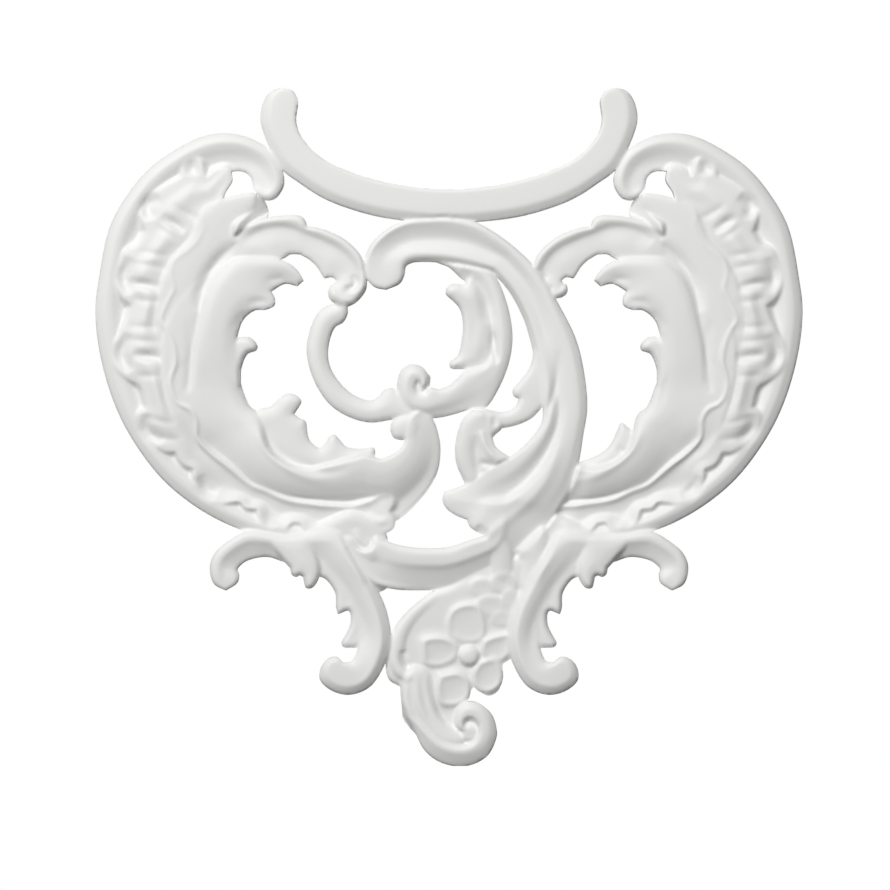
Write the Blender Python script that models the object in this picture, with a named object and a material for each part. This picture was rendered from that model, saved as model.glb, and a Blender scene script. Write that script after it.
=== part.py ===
"""A carved rocaille onlay, cast in one piece with a flat back, to be fixed on a wall or a door.

The onlay is a height field over a drawing. X runs to the right and Z up, both from the middle
of the back, and the relief stands out towards -Y. The drawing and its heights are set out in
half-millimetre units and then scaled to the real width and depth.
"""

import bpy
import numpy as np

# Sizes of the real piece, in metres: overall width, thickness of the lowest parts, and the
# greatest height of the carving over them
WIDTH = 0.3535
BACKING = 0.0040
CARVING_HEIGHT = 0.0105

# The sheet that the drawing is set out on, in half-millimetre units from the middle of the back
DRAWN_LEFT = -360
DRAWN_RIGHT = 360
DRAWN_BOTTOM = -372
DRAWN_TOP = 320

# Fineness of the carving: grid step in drawing units, the triangles kept, the step along curves, and
# how far the finished relief is smoothed
GRID_STEP = 2.0
FACE_BUDGET = 9000
STEP_ALONG_CURVES = 1.0
SMOOTHING = 0.6

# Every edge is rounded by this radius and then falls away steeply, in drawing units
EDGE_RADIUS = 2.8
EDGE_FALL = 3.0
OUTSIDE = -60.0

# Two forms that cross are joined with a fillet of this size; the drawing's lowest height is LOWEST
MERGE = 2.0
LOWEST = 3.0

# Cells of a band's table of heights, and the products worked out at once when distances are taken
TABLE_CELLS = 80
BLOCK_SIZE = 6_000_000

# Where the outline passes closer than this share of a cell to a grid point, it is moved that far off
SNAP = 0.05

# Points nearer to the back plane than this, in metres, are laid on it
FLATNESS = 0.0004

# The paint
PAINT_COLOUR = (0.87, 0.87, 0.86, 1)
PAINT_ROUGHNESS = 0.55


# Curves

def smooth_run(points):
    """A curve through all the points, evenly paced (a centripetal Catmull-Rom spline)."""
    points = np.asarray(points, float)
    if len(points) == 2:
        count = max(int(np.hypot(*(points[1] - points[0])) / STEP_ALONG_CURVES), 1)
        share = np.linspace(0, 1, count + 1)[:, None]
        return points[0] * (1 - share) + points[1] * share
    before = 2 * points[:1] - points[1:2]
    after = 2 * points[-1:] - points[-2:-1]
    knots = np.concatenate([before, points, after])
    pace = np.sqrt(np.hypot(*np.diff(knots, axis=0).T))
    time = np.concatenate([[0], np.cumsum(pace)])
    pieces = []
    for i in range(1, len(knots) - 2):
        length = np.hypot(*(knots[i + 1] - knots[i]))
        count = max(int(np.ceil(length / STEP_ALONG_CURVES)), 2)
        t = np.linspace(time[i], time[i + 1], count + 1)[:-1, None]
        p0, p1, p2, p3 = knots[i - 1:i + 3]
        t0, t1, t2, t3 = time[i - 1:i + 3]
        a1 = ((t1 - t) * p0 + (t - t0) * p1) / (t1 - t0)
        a2 = ((t2 - t) * p1 + (t - t1) * p2) / (t2 - t1)
        a3 = ((t3 - t) * p2 + (t - t2) * p3) / (t3 - t2)
        b1 = ((t2 - t) * a1 + (t - t0) * a2) / (t2 - t0)
        b2 = ((t3 - t) * a2 + (t - t1) * a3) / (t3 - t1)
        pieces.append(((t2 - t) * b1 + (t - t1) * b2) / (t2 - t1))
    pieces.append(points[-1:])
    return np.concatenate(pieces)


def curve(*runs):
    """Smooth runs of points, each going on from the end of the one before with a corner there."""
    parts = [smooth_run(runs[0])]
    for run in runs[1:]:
        parts.append(smooth_run([tuple(parts[-1][-1])] + list(run))[1:])
    return np.concatenate(parts)


def ring(*runs):
    """A closed outline: its runs come back to the first point."""
    return curve(*runs)[:-1]


def shares(path):
    """The share of a path's length at each of its points."""
    length = np.concatenate([[0], np.cumsum(np.hypot(*np.diff(path, axis=0).T))])
    return length / length[-1]


def eased(x, places, values):
    """A curve through (place, value) that never overshoots its values (a monotone cubic)."""
    places = np.asarray(places, float)
    values = np.asarray(values, float)
    width = np.diff(places)
    slope = np.diff(values) / width
    grade = np.empty_like(values)
    grade[0] = slope[0]
    grade[-1] = slope[-1]
    same_way = slope[:-1] * slope[1:] > 0
    total = np.where(same_way, slope[:-1] + slope[1:], 1)
    grade[1:-1] = np.where(same_way, 2 * slope[:-1] * slope[1:] / total, 0)
    x = np.clip(x, places[0], places[-1])
    i = np.clip(np.searchsorted(places, x, side="right") - 1, 0, len(width) - 1)
    u = (x - places[i]) / width[i]
    rise = values[i] * (1 + 2 * u) * (1 - u) ** 2 + values[i + 1] * u ** 2 * (3 - 2 * u)
    lean = grade[i] * u * (1 - u) ** 2 + grade[i + 1] * u ** 2 * (u - 1)
    return rise + width[i] * lean


def along(values, share):
    """One value for the whole path, or {share: value} read at each share."""
    if isinstance(values, dict):
        return eased(share, list(values), list(values.values()))
    return np.full(np.shape(share), float(values))


def largest(values):
    return max(values.values()) if isinstance(values, dict) else values


# Distances

def closest_vertex(points, path):
    """The index of the path's nearest vertex to each point, a block of points at a time."""
    near = np.empty(len(points), int)
    block = max(1, int(BLOCK_SIZE / len(path)))
    square = (path ** 2).sum(1)
    for start in range(0, len(points), block):
        part = points[start:start + block]
        near[start:start + block] = np.argmin(square - 2 * part @ path.T, axis=1)
    return near


def nearest(points, path):
    """For each point: its distance to the path, its side (left is positive) and its share."""
    share = shares(path)
    near = closest_vertex(points, path)
    best = np.full(len(points), np.inf)
    cross = np.zeros(len(points))
    place = np.zeros(len(points))
    for first in (near - 1, near):
        usable = (first >= 0) & (first < len(path) - 1)
        first = np.clip(first, 0, len(path) - 2)
        step = path[first + 1] - path[first]
        away = points - path[first]
        u = np.clip((away * step).sum(1) / np.maximum((step ** 2).sum(1), 1e-12), 0, 1)
        distance = np.hypot(*(away - step * u[:, None]).T)
        better = usable & (distance < best)
        best = np.where(better, distance, best)
        cross = np.where(better, step[:, 0] * away[:, 1] - step[:, 1] * away[:, 0], cross)
        place = np.where(better, share[first] * (1 - u) + share[first + 1] * u, place)
    return best, np.sign(cross), place


def depth_inside(points, outline):
    """Distance to a closed outline, positive inside it, whichever way it runs."""
    after = np.roll(outline, -1, axis=0)
    if np.sum(outline[:, 0] * after[:, 1] - after[:, 0] * outline[:, 1]) < 0:
        outline = outline[::-1]
    gap = np.hypot(*(outline - np.roll(outline, 1, axis=0)).T)
    outline = outline[gap > 1e-6]
    count = len(outline)
    step = np.roll(outline, -1, axis=0) - outline
    length = np.hypot(*step.T)[:, None]
    inward = np.stack([-step[:, 1], step[:, 0]], 1) / length
    corner = inward + np.roll(inward, 1, axis=0)
    near = closest_vertex(points, outline)
    best = np.full(len(points), np.inf)
    sign = np.ones(len(points))
    for first in ((near - 1) % count, near):
        away = points - outline[first]
        u = np.clip((away * step[first]).sum(1) / (step[first] ** 2).sum(1), 0, 1)[:, None]
        foot = away - step[first] * u
        distance = np.hypot(*foot.T)
        facing = np.where(u <= 0, corner[first], inward[first])
        facing = np.where(u >= 1, corner[(first + 1) % count], facing)
        better = distance < best
        best = np.where(better, distance, best)
        sign = np.where(better, np.where((foot * facing).sum(1) < 0, -1, 1), sign)
    return best * sign


def rounded_edge(inside, radius, fall):
    """How far an edge lies below its face: a quarter circle, then a steep side."""
    reach = np.clip(radius - inside, 0, radius)
    return radius - np.sqrt(radius ** 2 - reach ** 2) + fall * np.maximum(-inside, 0)


# Smoothing

def running_means(field, radius):
    """The field smoothed by three running means of 2 * radius + 1 cells each way."""
    half = int(round(radius))
    for axis in (0, 1) * 3:
        pad = [(half + 1, half) if k == axis else (0, 0) for k in (0, 1)]
        total = np.cumsum(np.pad(field, pad, mode="edge"), axis=axis)
        place = np.arange(field.shape[axis])
        high = np.take(total, place + 2 * half + 1, axis=axis)
        field = (high - np.take(total, place, axis=axis)) / (2 * half + 1)
    return field


def softened(field, weight, radius):
    """The field smoothed over the cells that have weight."""
    if round(radius) < 1:
        return field
    spread = running_means(weight, radius)
    return np.where(spread > 1e-4, running_means(field * weight, radius) / (spread + 1e-12), field)


# The relief

class Relief:
    """Heights over the drawing, and how far each spot lies inside the outline."""

    def __init__(self):
        self.x = np.arange(DRAWN_LEFT, DRAWN_RIGHT + 1, GRID_STEP)
        self.z = np.arange(DRAWN_BOTTOM, DRAWN_TOP + 1, GRID_STEP)
        shape = (len(self.z), len(self.x))
        self.top = np.full(shape, OUTSIDE)
        self.inside = np.full(shape, OUTSIDE)

    def around(self, outline, margin=8):
        """The part of the grid round an outline: its rows, its columns and its points."""
        low = outline.min(0) - margin
        high = outline.max(0) + margin
        cols = slice(*np.searchsorted(self.x, [low[0], high[0]]))
        rows = slice(*np.searchsorted(self.z, [low[1], high[1]]))
        x, z = np.meshgrid(self.x[cols], self.z[rows])
        return (rows, cols), np.stack([x.ravel(), z.ravel()], 1), x.shape

    def join(self, spot, height, inside, merge=MERGE, over=False):
        """The higher of the old and the new surface, with a small fillet where they cross.

        A form that lies over the others hides what is under it.
        """
        old = self.top[spot]
        meet = np.maximum(merge - np.abs(old - height), 0) / merge
        joined = np.maximum(old, height) + meet ** 2 * merge / 4
        self.top[spot] = np.where(over & (inside > 0), height, joined)
        self.inside[spot] = np.maximum(self.inside[spot], inside)

    def band(self, first, second, stations, sections, edge=EDGE_RADIUS, fall=EDGE_FALL, soft=6, over=False):
        """A face between two rails that meet at both ends.

        Each section gives the heights at the stations from the first rail across to the second;
        it is keyed by its share of the length.
        """
        outline = np.concatenate([first, second[-2:0:-1]])
        spot, points, shape = self.around(outline)
        inside = depth_inside(points, outline)
        far_first, _, share_first = nearest(points, first)
        far_second, _, share_second = nearest(points, second)
        across = far_first / np.maximum(far_first + far_second, 1e-6)
        length = share_first * (1 - across) + share_second * across
        weight = (inside > -4).astype(float).reshape(shape)
        length = softened(length.reshape(shape), weight, soft / GRID_STEP)
        across = softened(across.reshape(shape), weight, 1.5 / GRID_STEP)
        fine = np.linspace(0, 1, TABLE_CELLS + 1)
        table = np.stack([eased(fine, stations, row) for row in sections.values()])
        table = np.stack([eased(fine, list(sections), column) for column in table.T], 1)
        row = np.clip(length, 0, 1) * TABLE_CELLS
        column = np.clip(across, 0, 1) * TABLE_CELLS
        i = np.minimum(row.astype(int), TABLE_CELLS - 1)
        j = np.minimum(column.astype(int), TABLE_CELLS - 1)
        u = row - i
        v = column - j
        lower = table[i, j] * (1 - v) + table[i, j + 1] * v
        upper = table[i + 1, j] * (1 - v) + table[i + 1, j + 1] * v
        height = lower * (1 - u) + upper * u
        inside = inside.reshape(shape)
        self.join(spot, height - rounded_edge(inside, edge, fall), inside, over=over)

    def lobe(self, outline, profile, tilt=(0, 0), edge=EDGE_RADIUS, fall=EDGE_FALL, merge=MERGE):
        """A face of any outline; the profile is {distance from the edge: height}."""
        spot, points, shape = self.around(outline)
        inside = depth_inside(points, outline)
        face = eased(inside, list(profile), list(profile.values()))
        face = face + (points - outline.mean(0)) @ np.asarray(tilt, float)
        face = (face - rounded_edge(inside, edge, fall)).reshape(shape)
        self.join(spot, face, inside.reshape(shape), merge)

    def bar(self, path, half, crest, edge=EDGE_RADIUS, fall=EDGE_FALL, foot=0.5):
        """A rounded bar along a path; its edges lie foot times its half width under the crest."""
        spot, points, shape = self.around(path, largest(half) + 6)
        distance, _, share = nearest(points, path)
        width = along(half, share)
        bow = np.clip(distance / np.maximum(width, 1e-6), 0, 1)
        face = along(crest, share) - foot * width * (1 - np.sqrt(1 - bow ** 2))
        inside = width - distance
        face = (face - rounded_edge(inside, edge, fall)).reshape(shape)
        self.join(spot, face, inside.reshape(shape))

    def stroke(self, path, width, height, right=None, ends=0.15):
        """A ridge, or with a negative height a groove, that fades out at both ends.

        Its section is a bell of this width; right gives another width on the right-hand side.
        """
        spot, points, shape = self.around(path, 2.5 * max(largest(width), largest(right or 0)))
        distance, side, share = nearest(points, path)
        spread = along(width, share)
        if right is not None:
            spread = np.where(side > 0, spread, along(right, share))
        fade = np.clip(np.minimum(share, 1 - share) / ends, 0, 1) ** 0.7
        bump = along(height, share) * fade * np.exp(-(distance / np.maximum(spread, 1e-6)) ** 2)
        self.top[spot] += bump.reshape(shape)

    def strokes(self, lines, width, height):
        for line in lines:
            self.stroke(curve(line), width, height, ends=0.4)


# The half that is the same on both sides, drawn on the left

def crescent(relief):
    """The plain bow across the top, flat with a wide bevel along its lower edge."""
    upper = curve([(-166, 314), (-157, 311.5), (-151.5, 303), (-153, 282), (-148.5, 267), (-129, 245),
                   (-99, 230), (-59, 218.5), (-19, 213), (8, 212)])
    lower = curve([(-166, 314), (-177, 311), (-184.5, 302), (-188.5, 284), (-185, 268), (-168, 234),
                   (-149, 219), (-129, 206), (-109, 197), (-69, 185.5), (-19, 180), (8, 179.6)],
                  [(8, 195), (8, 212)])
    relief.band(upper, lower, (0, 0.08, 0.72, 0.78, 1),
                {0: (19, 21.5, 21, 20, 17), 0.12: (20, 21, 21.3, 20.6, 16), 1: (20.5, 21.4, 21.4, 20.8, 16)},
                edge=1.6)


def rim(relief):
    """The outer C: a rolled lip on its outer side and a cove within, hooked over at the top."""
    outer = curve([(-196, 214), (-186, 203), (-175, 203.5), (-167.5, 212), (-165, 220), (-166, 229),
                   (-174, 247), (-189, 259), (-209, 267), (-229, 268.7), (-249, 264.5), (-274, 252),
                   (-299, 234), (-319, 211), (-339, 176), (-350.5, 122), (-353.8, 92), (-350, 52),
                   (-337, 4), (-319, -34), (-289, -75), (-259, -101), (-229, -119), (-202, -130),
                   (-174, -138), (-140, -142), (-110, -140)])
    inner = curve([(-196, 214), (-198, 224), (-203, 229.5), (-209, 231.5), (-218, 231), (-244, 224),
                   (-274, 204), (-297, 172), (-309, 132), (-311, 92), (-306, 52), (-292, 2),
                   (-271, -38), (-241, -68), (-207, -93), (-174, -110), (-140, -118), (-110, -140)])
    relief.band(outer, inner, (0, 0.12, 0.24, 0.36, 0.6, 0.85, 1),
                {0: (15, 17, 17, 16, 15, 15, 15), 0.06: (14.5, 18, 19, 17.5, 14, 12.5, 13),
                 0.2: (13, 16.8, 18.4, 17.6, 13.5, 9.5, 8.5), 0.35: (12, 15.2, 17, 16.6, 12, 8.5, 7),
                 0.6: (10, 12.5, 14.5, 14.5, 10.5, 6.5, 5.5), 0.85: (8, 10.2, 12.4, 13, 8.5, 5.5, 5),
                 1: (8, 9, 11, 11, 10, 9, 8)}, edge=2.4)


def ruffle(relief):
    """The shell-like frill inside the rim, scalloped outside and ridged along its inner edge."""
    outer = curve([(-218, 231.5), (-222, 235.5), (-233, 233), (-242, 226)],
                  [(-244, 234), (-246, 242), (-254, 246), (-264, 243), (-268, 235), (-269, 226)],
                  [(-277, 222), (-286, 217), (-297, 210), (-304, 199), (-310, 189), (-308, 180), (-304, 170)],
                  [(-312, 158), (-324, 153), (-330, 140), (-334, 127), (-332, 112), (-327, 103), (-318, 96)],
                  [(-322, 84), (-330, 68), (-336, 57), (-334, 34), (-322, 22), (-310, 15), (-304, -5)],
                  [(-312, -12), (-309, -28), (-299, -41), (-284, -51), (-274, -51)],
                  [(-267, -63), (-256, -68)],
                  [(-256, -76), (-248, -93), (-237, -101), (-227, -104)],
                  [(-209, -101), (-204, -107), (-192, -108)],
                  [(-190, -119), (-181, -132), (-169, -136), (-161, -128), (-157, -121)],
                  [(-149, -122), (-145, -128), (-134, -138), (-124, -138), (-113, -129)],
                  [(-104, -120), (-96, -117)],
                  [(-89, -123), (-79, -129), (-67, -132), (-56, -127), (-54, -119), (-59, -110)])
    inner = curve([(-218, 231.5), (-217, 222), (-224, 210), (-228, 199), (-241, 193), (-245, 186),
                   (-241, 176), (-249, 159), (-259, 149), (-273, 140), (-275, 127), (-272, 113),
                   (-279, 100), (-286, 82), (-281, 75), (-273, 59), (-271, 40), (-277, 19), (-271, 1),
                   (-257, -6), (-251, -18), (-251, -35), (-239, -50), (-219, -64), (-199, -82),
                   (-184, -88), (-159, -98), (-134, -101.5), (-99, -104), (-79, -98), (-66, -92),
                   (-57, -94), (-54, -100), (-59, -110)])
    relief.band(outer, inner, (0, 0.08, 0.25, 0.48, 0.76, 0.86, 0.94, 1),
                {0: (16, 18, 17.5, 18, 18, 18.5, 19, 17.5), 0.12: (16, 17.5, 18, 20.5, 18.5, 18.5, 20.5, 18),
                 0.3: (16.5, 18, 19, 22.5, 19, 18, 22, 19), 0.45: (15.5, 17.5, 19, 22, 18, 17.5, 22, 19.5),
                 0.56: (13, 16, 16.5, 17.5, 13.5, 13, 18.5, 15),
                 0.68: (11, 13, 10, 5.5, 7, 9, 12.5, 8),
                 0.85: (10.5, 12, 9, 5, 6.5, 8.5, 11.5, 7), 1: (8, 10, 10.5, 10.5, 10, 10, 11, 9)},
                edge=1.8, fall=1.2, soft=7)


def ruffle_folds(relief):
    """One deep valley a scallop, shallow folds beside it, and the hollows of its ends."""
    relief.strokes([[(-287, 186), (-278, 180), (-264, 170)], [(-320, 120), (-306, 118), (-288, 114)],
                    [(-317, 48), (-303, 46), (-286, 44)]], 4.6, -4.8)
    relief.strokes([[(-293, 177), (-282, 169), (-270, 162)], [(-277, 198), (-263, 189), (-249, 182)],
                    [(-312, 151), (-295, 148), (-278, 146)], [(-317, 138), (-297, 136), (-280, 132)],
                    [(-317, 104), (-303, 101), (-287, 100)], [(-322, 76), (-305, 75), (-289, 75)],
                    [(-322, 63), (-305, 61), (-287, 60)], [(-313, 27), (-300, 26), (-287, 26)],
                    [(-304, -14), (-289, -19), (-273, -23)], [(-299, -32), (-287, -36), (-268, -38)]],
                   3.4, -1.5)
    relief.strokes([[(-257, 226), (-256, 236), (-250, 238)]], 6, -3.5)
    relief.strokes([[(-290, 206), (-301, 196), (-298, 182)], [(-318, 144), (-325, 126), (-318, 108)],
                    [(-320, 68), (-328, 48), (-318, 30)], [(-302, -12), (-303, -26), (-288, -42)],
                    [(-250, -74), (-243, -88), (-232, -94)]], 6, -5.5)
    relief.strokes([[(-180, -119), (-171, -124), (-163, -120)],
                    [(-140, -124), (-131, -129), (-120, -126)], [(-84, -112), (-70, -120), (-58, -117)]],
                   4, 2.4)
    relief.strokes([[(-192, -79), (-176, -88), (-160, -94), (-134, -98), (-105, -100), (-78, -95)]], 2, -1.6)


def inner_face(relief):
    """The broad trough of the C between the frill and the open middle, down to its scrolled end."""
    outer = curve([(-217, 141), (-240, 130), (-267, 105), (-285, 70), (-287, 30), (-276, -15),
                   (-250, -60), (-200, -100), (-140, -112), (-85, -114), (-60, -116), (-53, -119)],
                  [(-44, -113), (-29, -98), (-19, -85), (-11, -68), (-8.5, -48), (-10, -35),
                   (-17, -16), (-30, -8)])
    inner = curve([(-217, 141), (-209, 144), (-200, 120), (-204, 92), (-212, 65), (-211, 30),
                   (-200, -3), (-189, -13), (-180, -46), (-165, -60), (-145, -66), (-120, -62),
                   (-100, -56), (-82, -52), (-69, -56.5), (-59, -53.5), (-51, -48.5), (-46, -43.5),
                   (-43, -32), (-40, -15), (-30, -8)])
    relief.band(outer, inner, (0, 0.2, 0.4, 0.6, 0.8, 0.94, 1),
                {0: (18, 18, 17.5, 16.5, 15, 14, 13), 0.12: (19, 19, 18, 16, 14, 13, 12),
                 0.22: (20.5, 19.5, 18, 17, 16, 15, 14), 0.32: (19.5, 18.5, 18, 17.5, 16.5, 13, 9),
                 0.36: (15, 16, 17, 17, 16.5, 13, 8), 0.42: (8, 8.5, 13, 16, 17.5, 14.5, 8),
                 0.5: (3, 3.5, 10, 16, 19.5, 20, 14),
                 0.63: (3, 3.5, 10.5, 16, 19, 20, 15), 0.76: (3, 3.5, 10.5, 16.5, 19.5, 20, 15),
                 0.86: (4, 6, 12, 16.5, 18.5, 18.5, 16), 0.94: (10, 12, 14, 16, 17.5, 17.5, 16),
                 1: (16, 16, 16.5, 17, 17, 16, 15)}, soft=12)
    relief.stroke(curve([(-261, 82), (-259, 60), (-259, 36), (-262, 8)]), 3.4, -1.8)
    relief.stroke(curve([(-196, -24), (-184, -46), (-166, -63), (-144, -75), (-120, -80)]), 4, 2, ends=0.4)


def leaf_behind_frill(relief):
    """The long leaf that comes out under the frill, with its tip folded over to the right."""
    shape = ring([(-227, 203), (-209, 207.5), (-193, 208), (-193, 197)],
                 [(-199, 190), (-206, 182), (-213, 176), (-214, 170), (-210, 161)],
                 [(-227, 147), (-240, 130), (-247, 113), (-252, 92), (-257, 62), (-260, 42)],
                 [(-280, 30), (-294, 60), (-290, 115), (-275, 145), (-258, 165), (-248, 188), (-227, 203)])
    relief.lobe(shape, {0: 18.5, 6: 19.5, 20: 20}, tilt=(-0.06, 0.03), edge=2.2, fall=0.7, merge=4)
    fold = ring([(-195, 207), (-186, 203), (-182, 196), (-181, 190), (-183, 180)],
                [(-198, 176), (-214, 168)],
                [(-213, 177), (-205, 185), (-197, 193), (-195, 207)])
    relief.lobe(fold, {0: 15.5, 6: 16.5}, tilt=(-0.75, 0.2), edge=1.5)
    cove = ring([(-262, 60), (-258, 110), (-242, 148), (-216, 176), (-196, 178), (-198, 140),
                 (-222, 122), (-236, 70), (-262, 60)])
    relief.lobe(cove, {0: 14, 8: 16.5}, tilt=(-0.1, 0.05), edge=1)
    relief.stroke(curve([(-214, 158), (-226, 147), (-238, 131), (-247, 112), (-251, 90)]), 6, -4.5, ends=0.3)


def leaf_over_top(relief):
    """The leaf that arches over the open middle and rolls in to a curl at its end."""
    upper = curve([(-214, 160), (-206, 174), (-193, 181), (-182, 184), (-169, 186), (-149, 186),
                   (-144, 182), (-142, 175.5)],
                  [(-129, 173.5), (-109, 165.5), (-99, 158.5), (-91, 150.5), (-86, 142), (-83, 130),
                   (-83, 117), (-88, 108), (-95, 104), (-104, 104)])
    lower = curve([(-214, 160), (-216, 148), (-206, 140), (-180, 141), (-166, 144), (-159, 148), (-149, 148)],
                  [(-139, 142), (-132, 135), (-127, 127), (-125, 124)],
                  [(-117, 125), (-113, 121), (-118, 115), (-118, 109), (-113, 105), (-104, 104)])
    relief.band(upper, lower, (0, 0.12, 0.3, 1),
                {0: (15, 16, 16, 15), 0.15: (18, 20.5, 19.5, 15.5), 0.8: (18, 20.5, 19.5, 14.5),
                 1: (16, 18, 18, 16)}, soft=9)
    relief.stroke(curve([(-204, 160), (-194, 168), (-182, 173), (-164, 174), (-146, 168), (-128, 161),
                         (-110, 152), (-99, 141), (-93, 128), (-95, 116)]), 4.6, -3.6, right=12, ends=0.1)
    relief.stroke(curve([(-97, 127), (-93, 120), (-97, 114), (-105, 113)]), 3, -4, ends=0.3)


def curls(relief):
    """The rolled ends of the two arching leaves; the left one hangs lower."""
    left = ring([(-121, 110), (-118, 117), (-110, 113), (-98, 107), (-91, 109), (-86, 117), (-82, 126)],
                [(-83, 113), (-88, 105), (-96, 98), (-106, 95), (-114, 98.5), (-120, 104), (-121, 110)])
    relief.lobe(left, {0: 15, 5: 19, 9: 20}, edge=1.8)
    right = ring([(119, 112), (117, 118), (110, 114), (98, 109), (91, 111), (86, 118), (83, 126)],
                 [(83, 113), (88, 105), (98, 102), (108, 104), (115, 107), (119, 112)])
    relief.lobe(right, {0: 15, 5: 19, 9: 20}, edge=1.8)


def leaf_in_middle(relief):
    """The big leaf whose tips stand into the open middle, running on down the C's inner side."""
    crest = curve([(-145.5, 122), (-151, 131), (-159, 138), (-172, 143), (-192, 144.5), (-211, 144),
                   (-222, 138), (-233, 126), (-243, 107), (-250, 80), (-255, 50), (-256, 20),
                   (-250, -12), (-238, -34)])
    tips = curve([(-145.5, 122), (-152, 116)],
                 [(-164, 118.5), (-178, 111)],
                 [(-174.5, 104), (-175, 97), (-184, 92.5), (-194, 92), (-204, 85), (-211, 72),
                  (-212, 50), (-210, 20), (-214, -8), (-225, -26), (-238, -34)])
    relief.band(crest, tips, (0, 0.1, 0.25, 0.6, 0.88, 1),
                {0: (13, 14, 14, 14, 13, 13), 0.12: (16, 19, 20, 18, 16, 15),
                 0.28: (17.5, 21.5, 22.5, 21.5, 18.5, 16.5), 0.45: (18, 22, 23.5, 22.5, 18.5, 15.5),
                 0.62: (18, 21, 21.5, 20, 17, 14), 0.74: (17, 19, 18.5, 17, 15, 13),
                 0.86: (13, 14, 13.5, 12.5, 11, 10), 1: (7, 7, 7, 7, 7, 7)}, edge=2.6, fall=2, soft=10)
    small = ring([(-214, 64), (-204, 65.5), (-198, 64), (-192, 57), (-193, 52), (-202, 48),
                  (-208, 34), (-210, 15), (-222, 25), (-222, 50), (-214, 64)])
    relief.lobe(small, {0: 13, 5: 16})
    folds = [[(-160, 119), (-170, 123), (-184, 121)], [(-177, 98), (-188, 101), (-202, 98)],
             [(-196, 90), (-206, 86), (-216, 72)]]
    relief.strokes(folds, 3.6, -1.6)


def leaf_below(relief):
    """The lower leaf with its tips up, behind the crest of the trough."""
    shape = ring([(-195, -12), (-186, -6), (-179, -5), (-167, 6), (-159, 8.5), (-152, 6), (-148, 1),
                  (-155, -12)],
                 [(-150, -16), (-144, -19), (-142, -30), (-139, -39), (-129, -46), (-123, -40)],
                 [(-119, -34), (-114, -33), (-110, -37), (-102, -45), (-89, -47), (-75, -46), (-74, -51),
                  (-75, -56)],
                 [(-84, -66), (-104, -72), (-128, -74), (-150, -70), (-170, -60), (-185, -46),
                  (-193, -30), (-195, -12)])
    relief.lobe(shape, {0: 11.5, 5: 13.5, 12: 14.5, 24: 14.5}, tilt=(0.02, 0.02), edge=2.4, fall=1.6)
    relief.strokes([[(-184, -22), (-178, -40), (-164, -54), (-146, -64), (-122, -70), (-98, -66)]], 5, -3)


def leaf_below_right(relief):
    """The same leaf on the right-hand side, cut slimmer and with one tip only."""
    shape = ring([(131, -60), (141, -57), (156, -49), (163, -41), (169, -28), (173, -21), (179, -25),
                  (183, -28), (191, -18), (201, 0), (209, 20), (214, 25), (214, 0), (205, -25),
                  (190, -45), (170, -60), (150, -72), (125, -80), (118, -70), (131, -60)])
    relief.lobe(shape, {0: 12, 5: 14, 9: 14.5}, fall=1.2, merge=5)
    relief.strokes([[(168, -44), (175, -50), (178, -46)]], 2.4, -1.8)


def scroll_knobs(relief):
    """The small knobs that end the two Cs; the right-hand C is a little fuller here."""
    left = ring([(-59, -28), (-57, -20), (-49, -14), (-40, -12), (-30, -20), (-34, -34), (-45, -38),
                 (-55, -36), (-59, -28)])
    relief.lobe(left, {0: 14, 4: 16.5, 9: 17.5}, merge=4)
    right = ring([(36, -8), (46, -11), (53, -18), (53, -26), (46, -33), (41, -38), (35, -36), (30, -22),
                  (36, -8)])
    relief.lobe(right, {0: 14, 4: 17, 9: 18})
    side = ring([(23, -8), (14, -17), (10, -26), (7, -38), (6, -48), (7, -60), (11, -71), (21, -88),
                 (40, -92), (46, -70), (40, -48), (38, -26), (36, -10), (23, -8)])
    relief.lobe(side, {0: 12, 5: 15.5, 10: 16.5}, tilt=(0, 0.09), merge=5)
    relief.stroke(curve([(32, -28), (35, -40), (41, -51), (52, -61)]), 3, 3, ends=0.3)
    relief.stroke(curve([(27, -34), (27, -48), (29, -64), (34, -78)]), 4.5, -3.2, ends=0.3)
    relief.stroke(curve([(30, -60), (38, -62), (47, -65)]), 3, -3, ends=0.3)
    relief.stroke(curve([(44, -14), (46, -20), (43, -25)]), 3, -3, ends=0.4)


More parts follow.
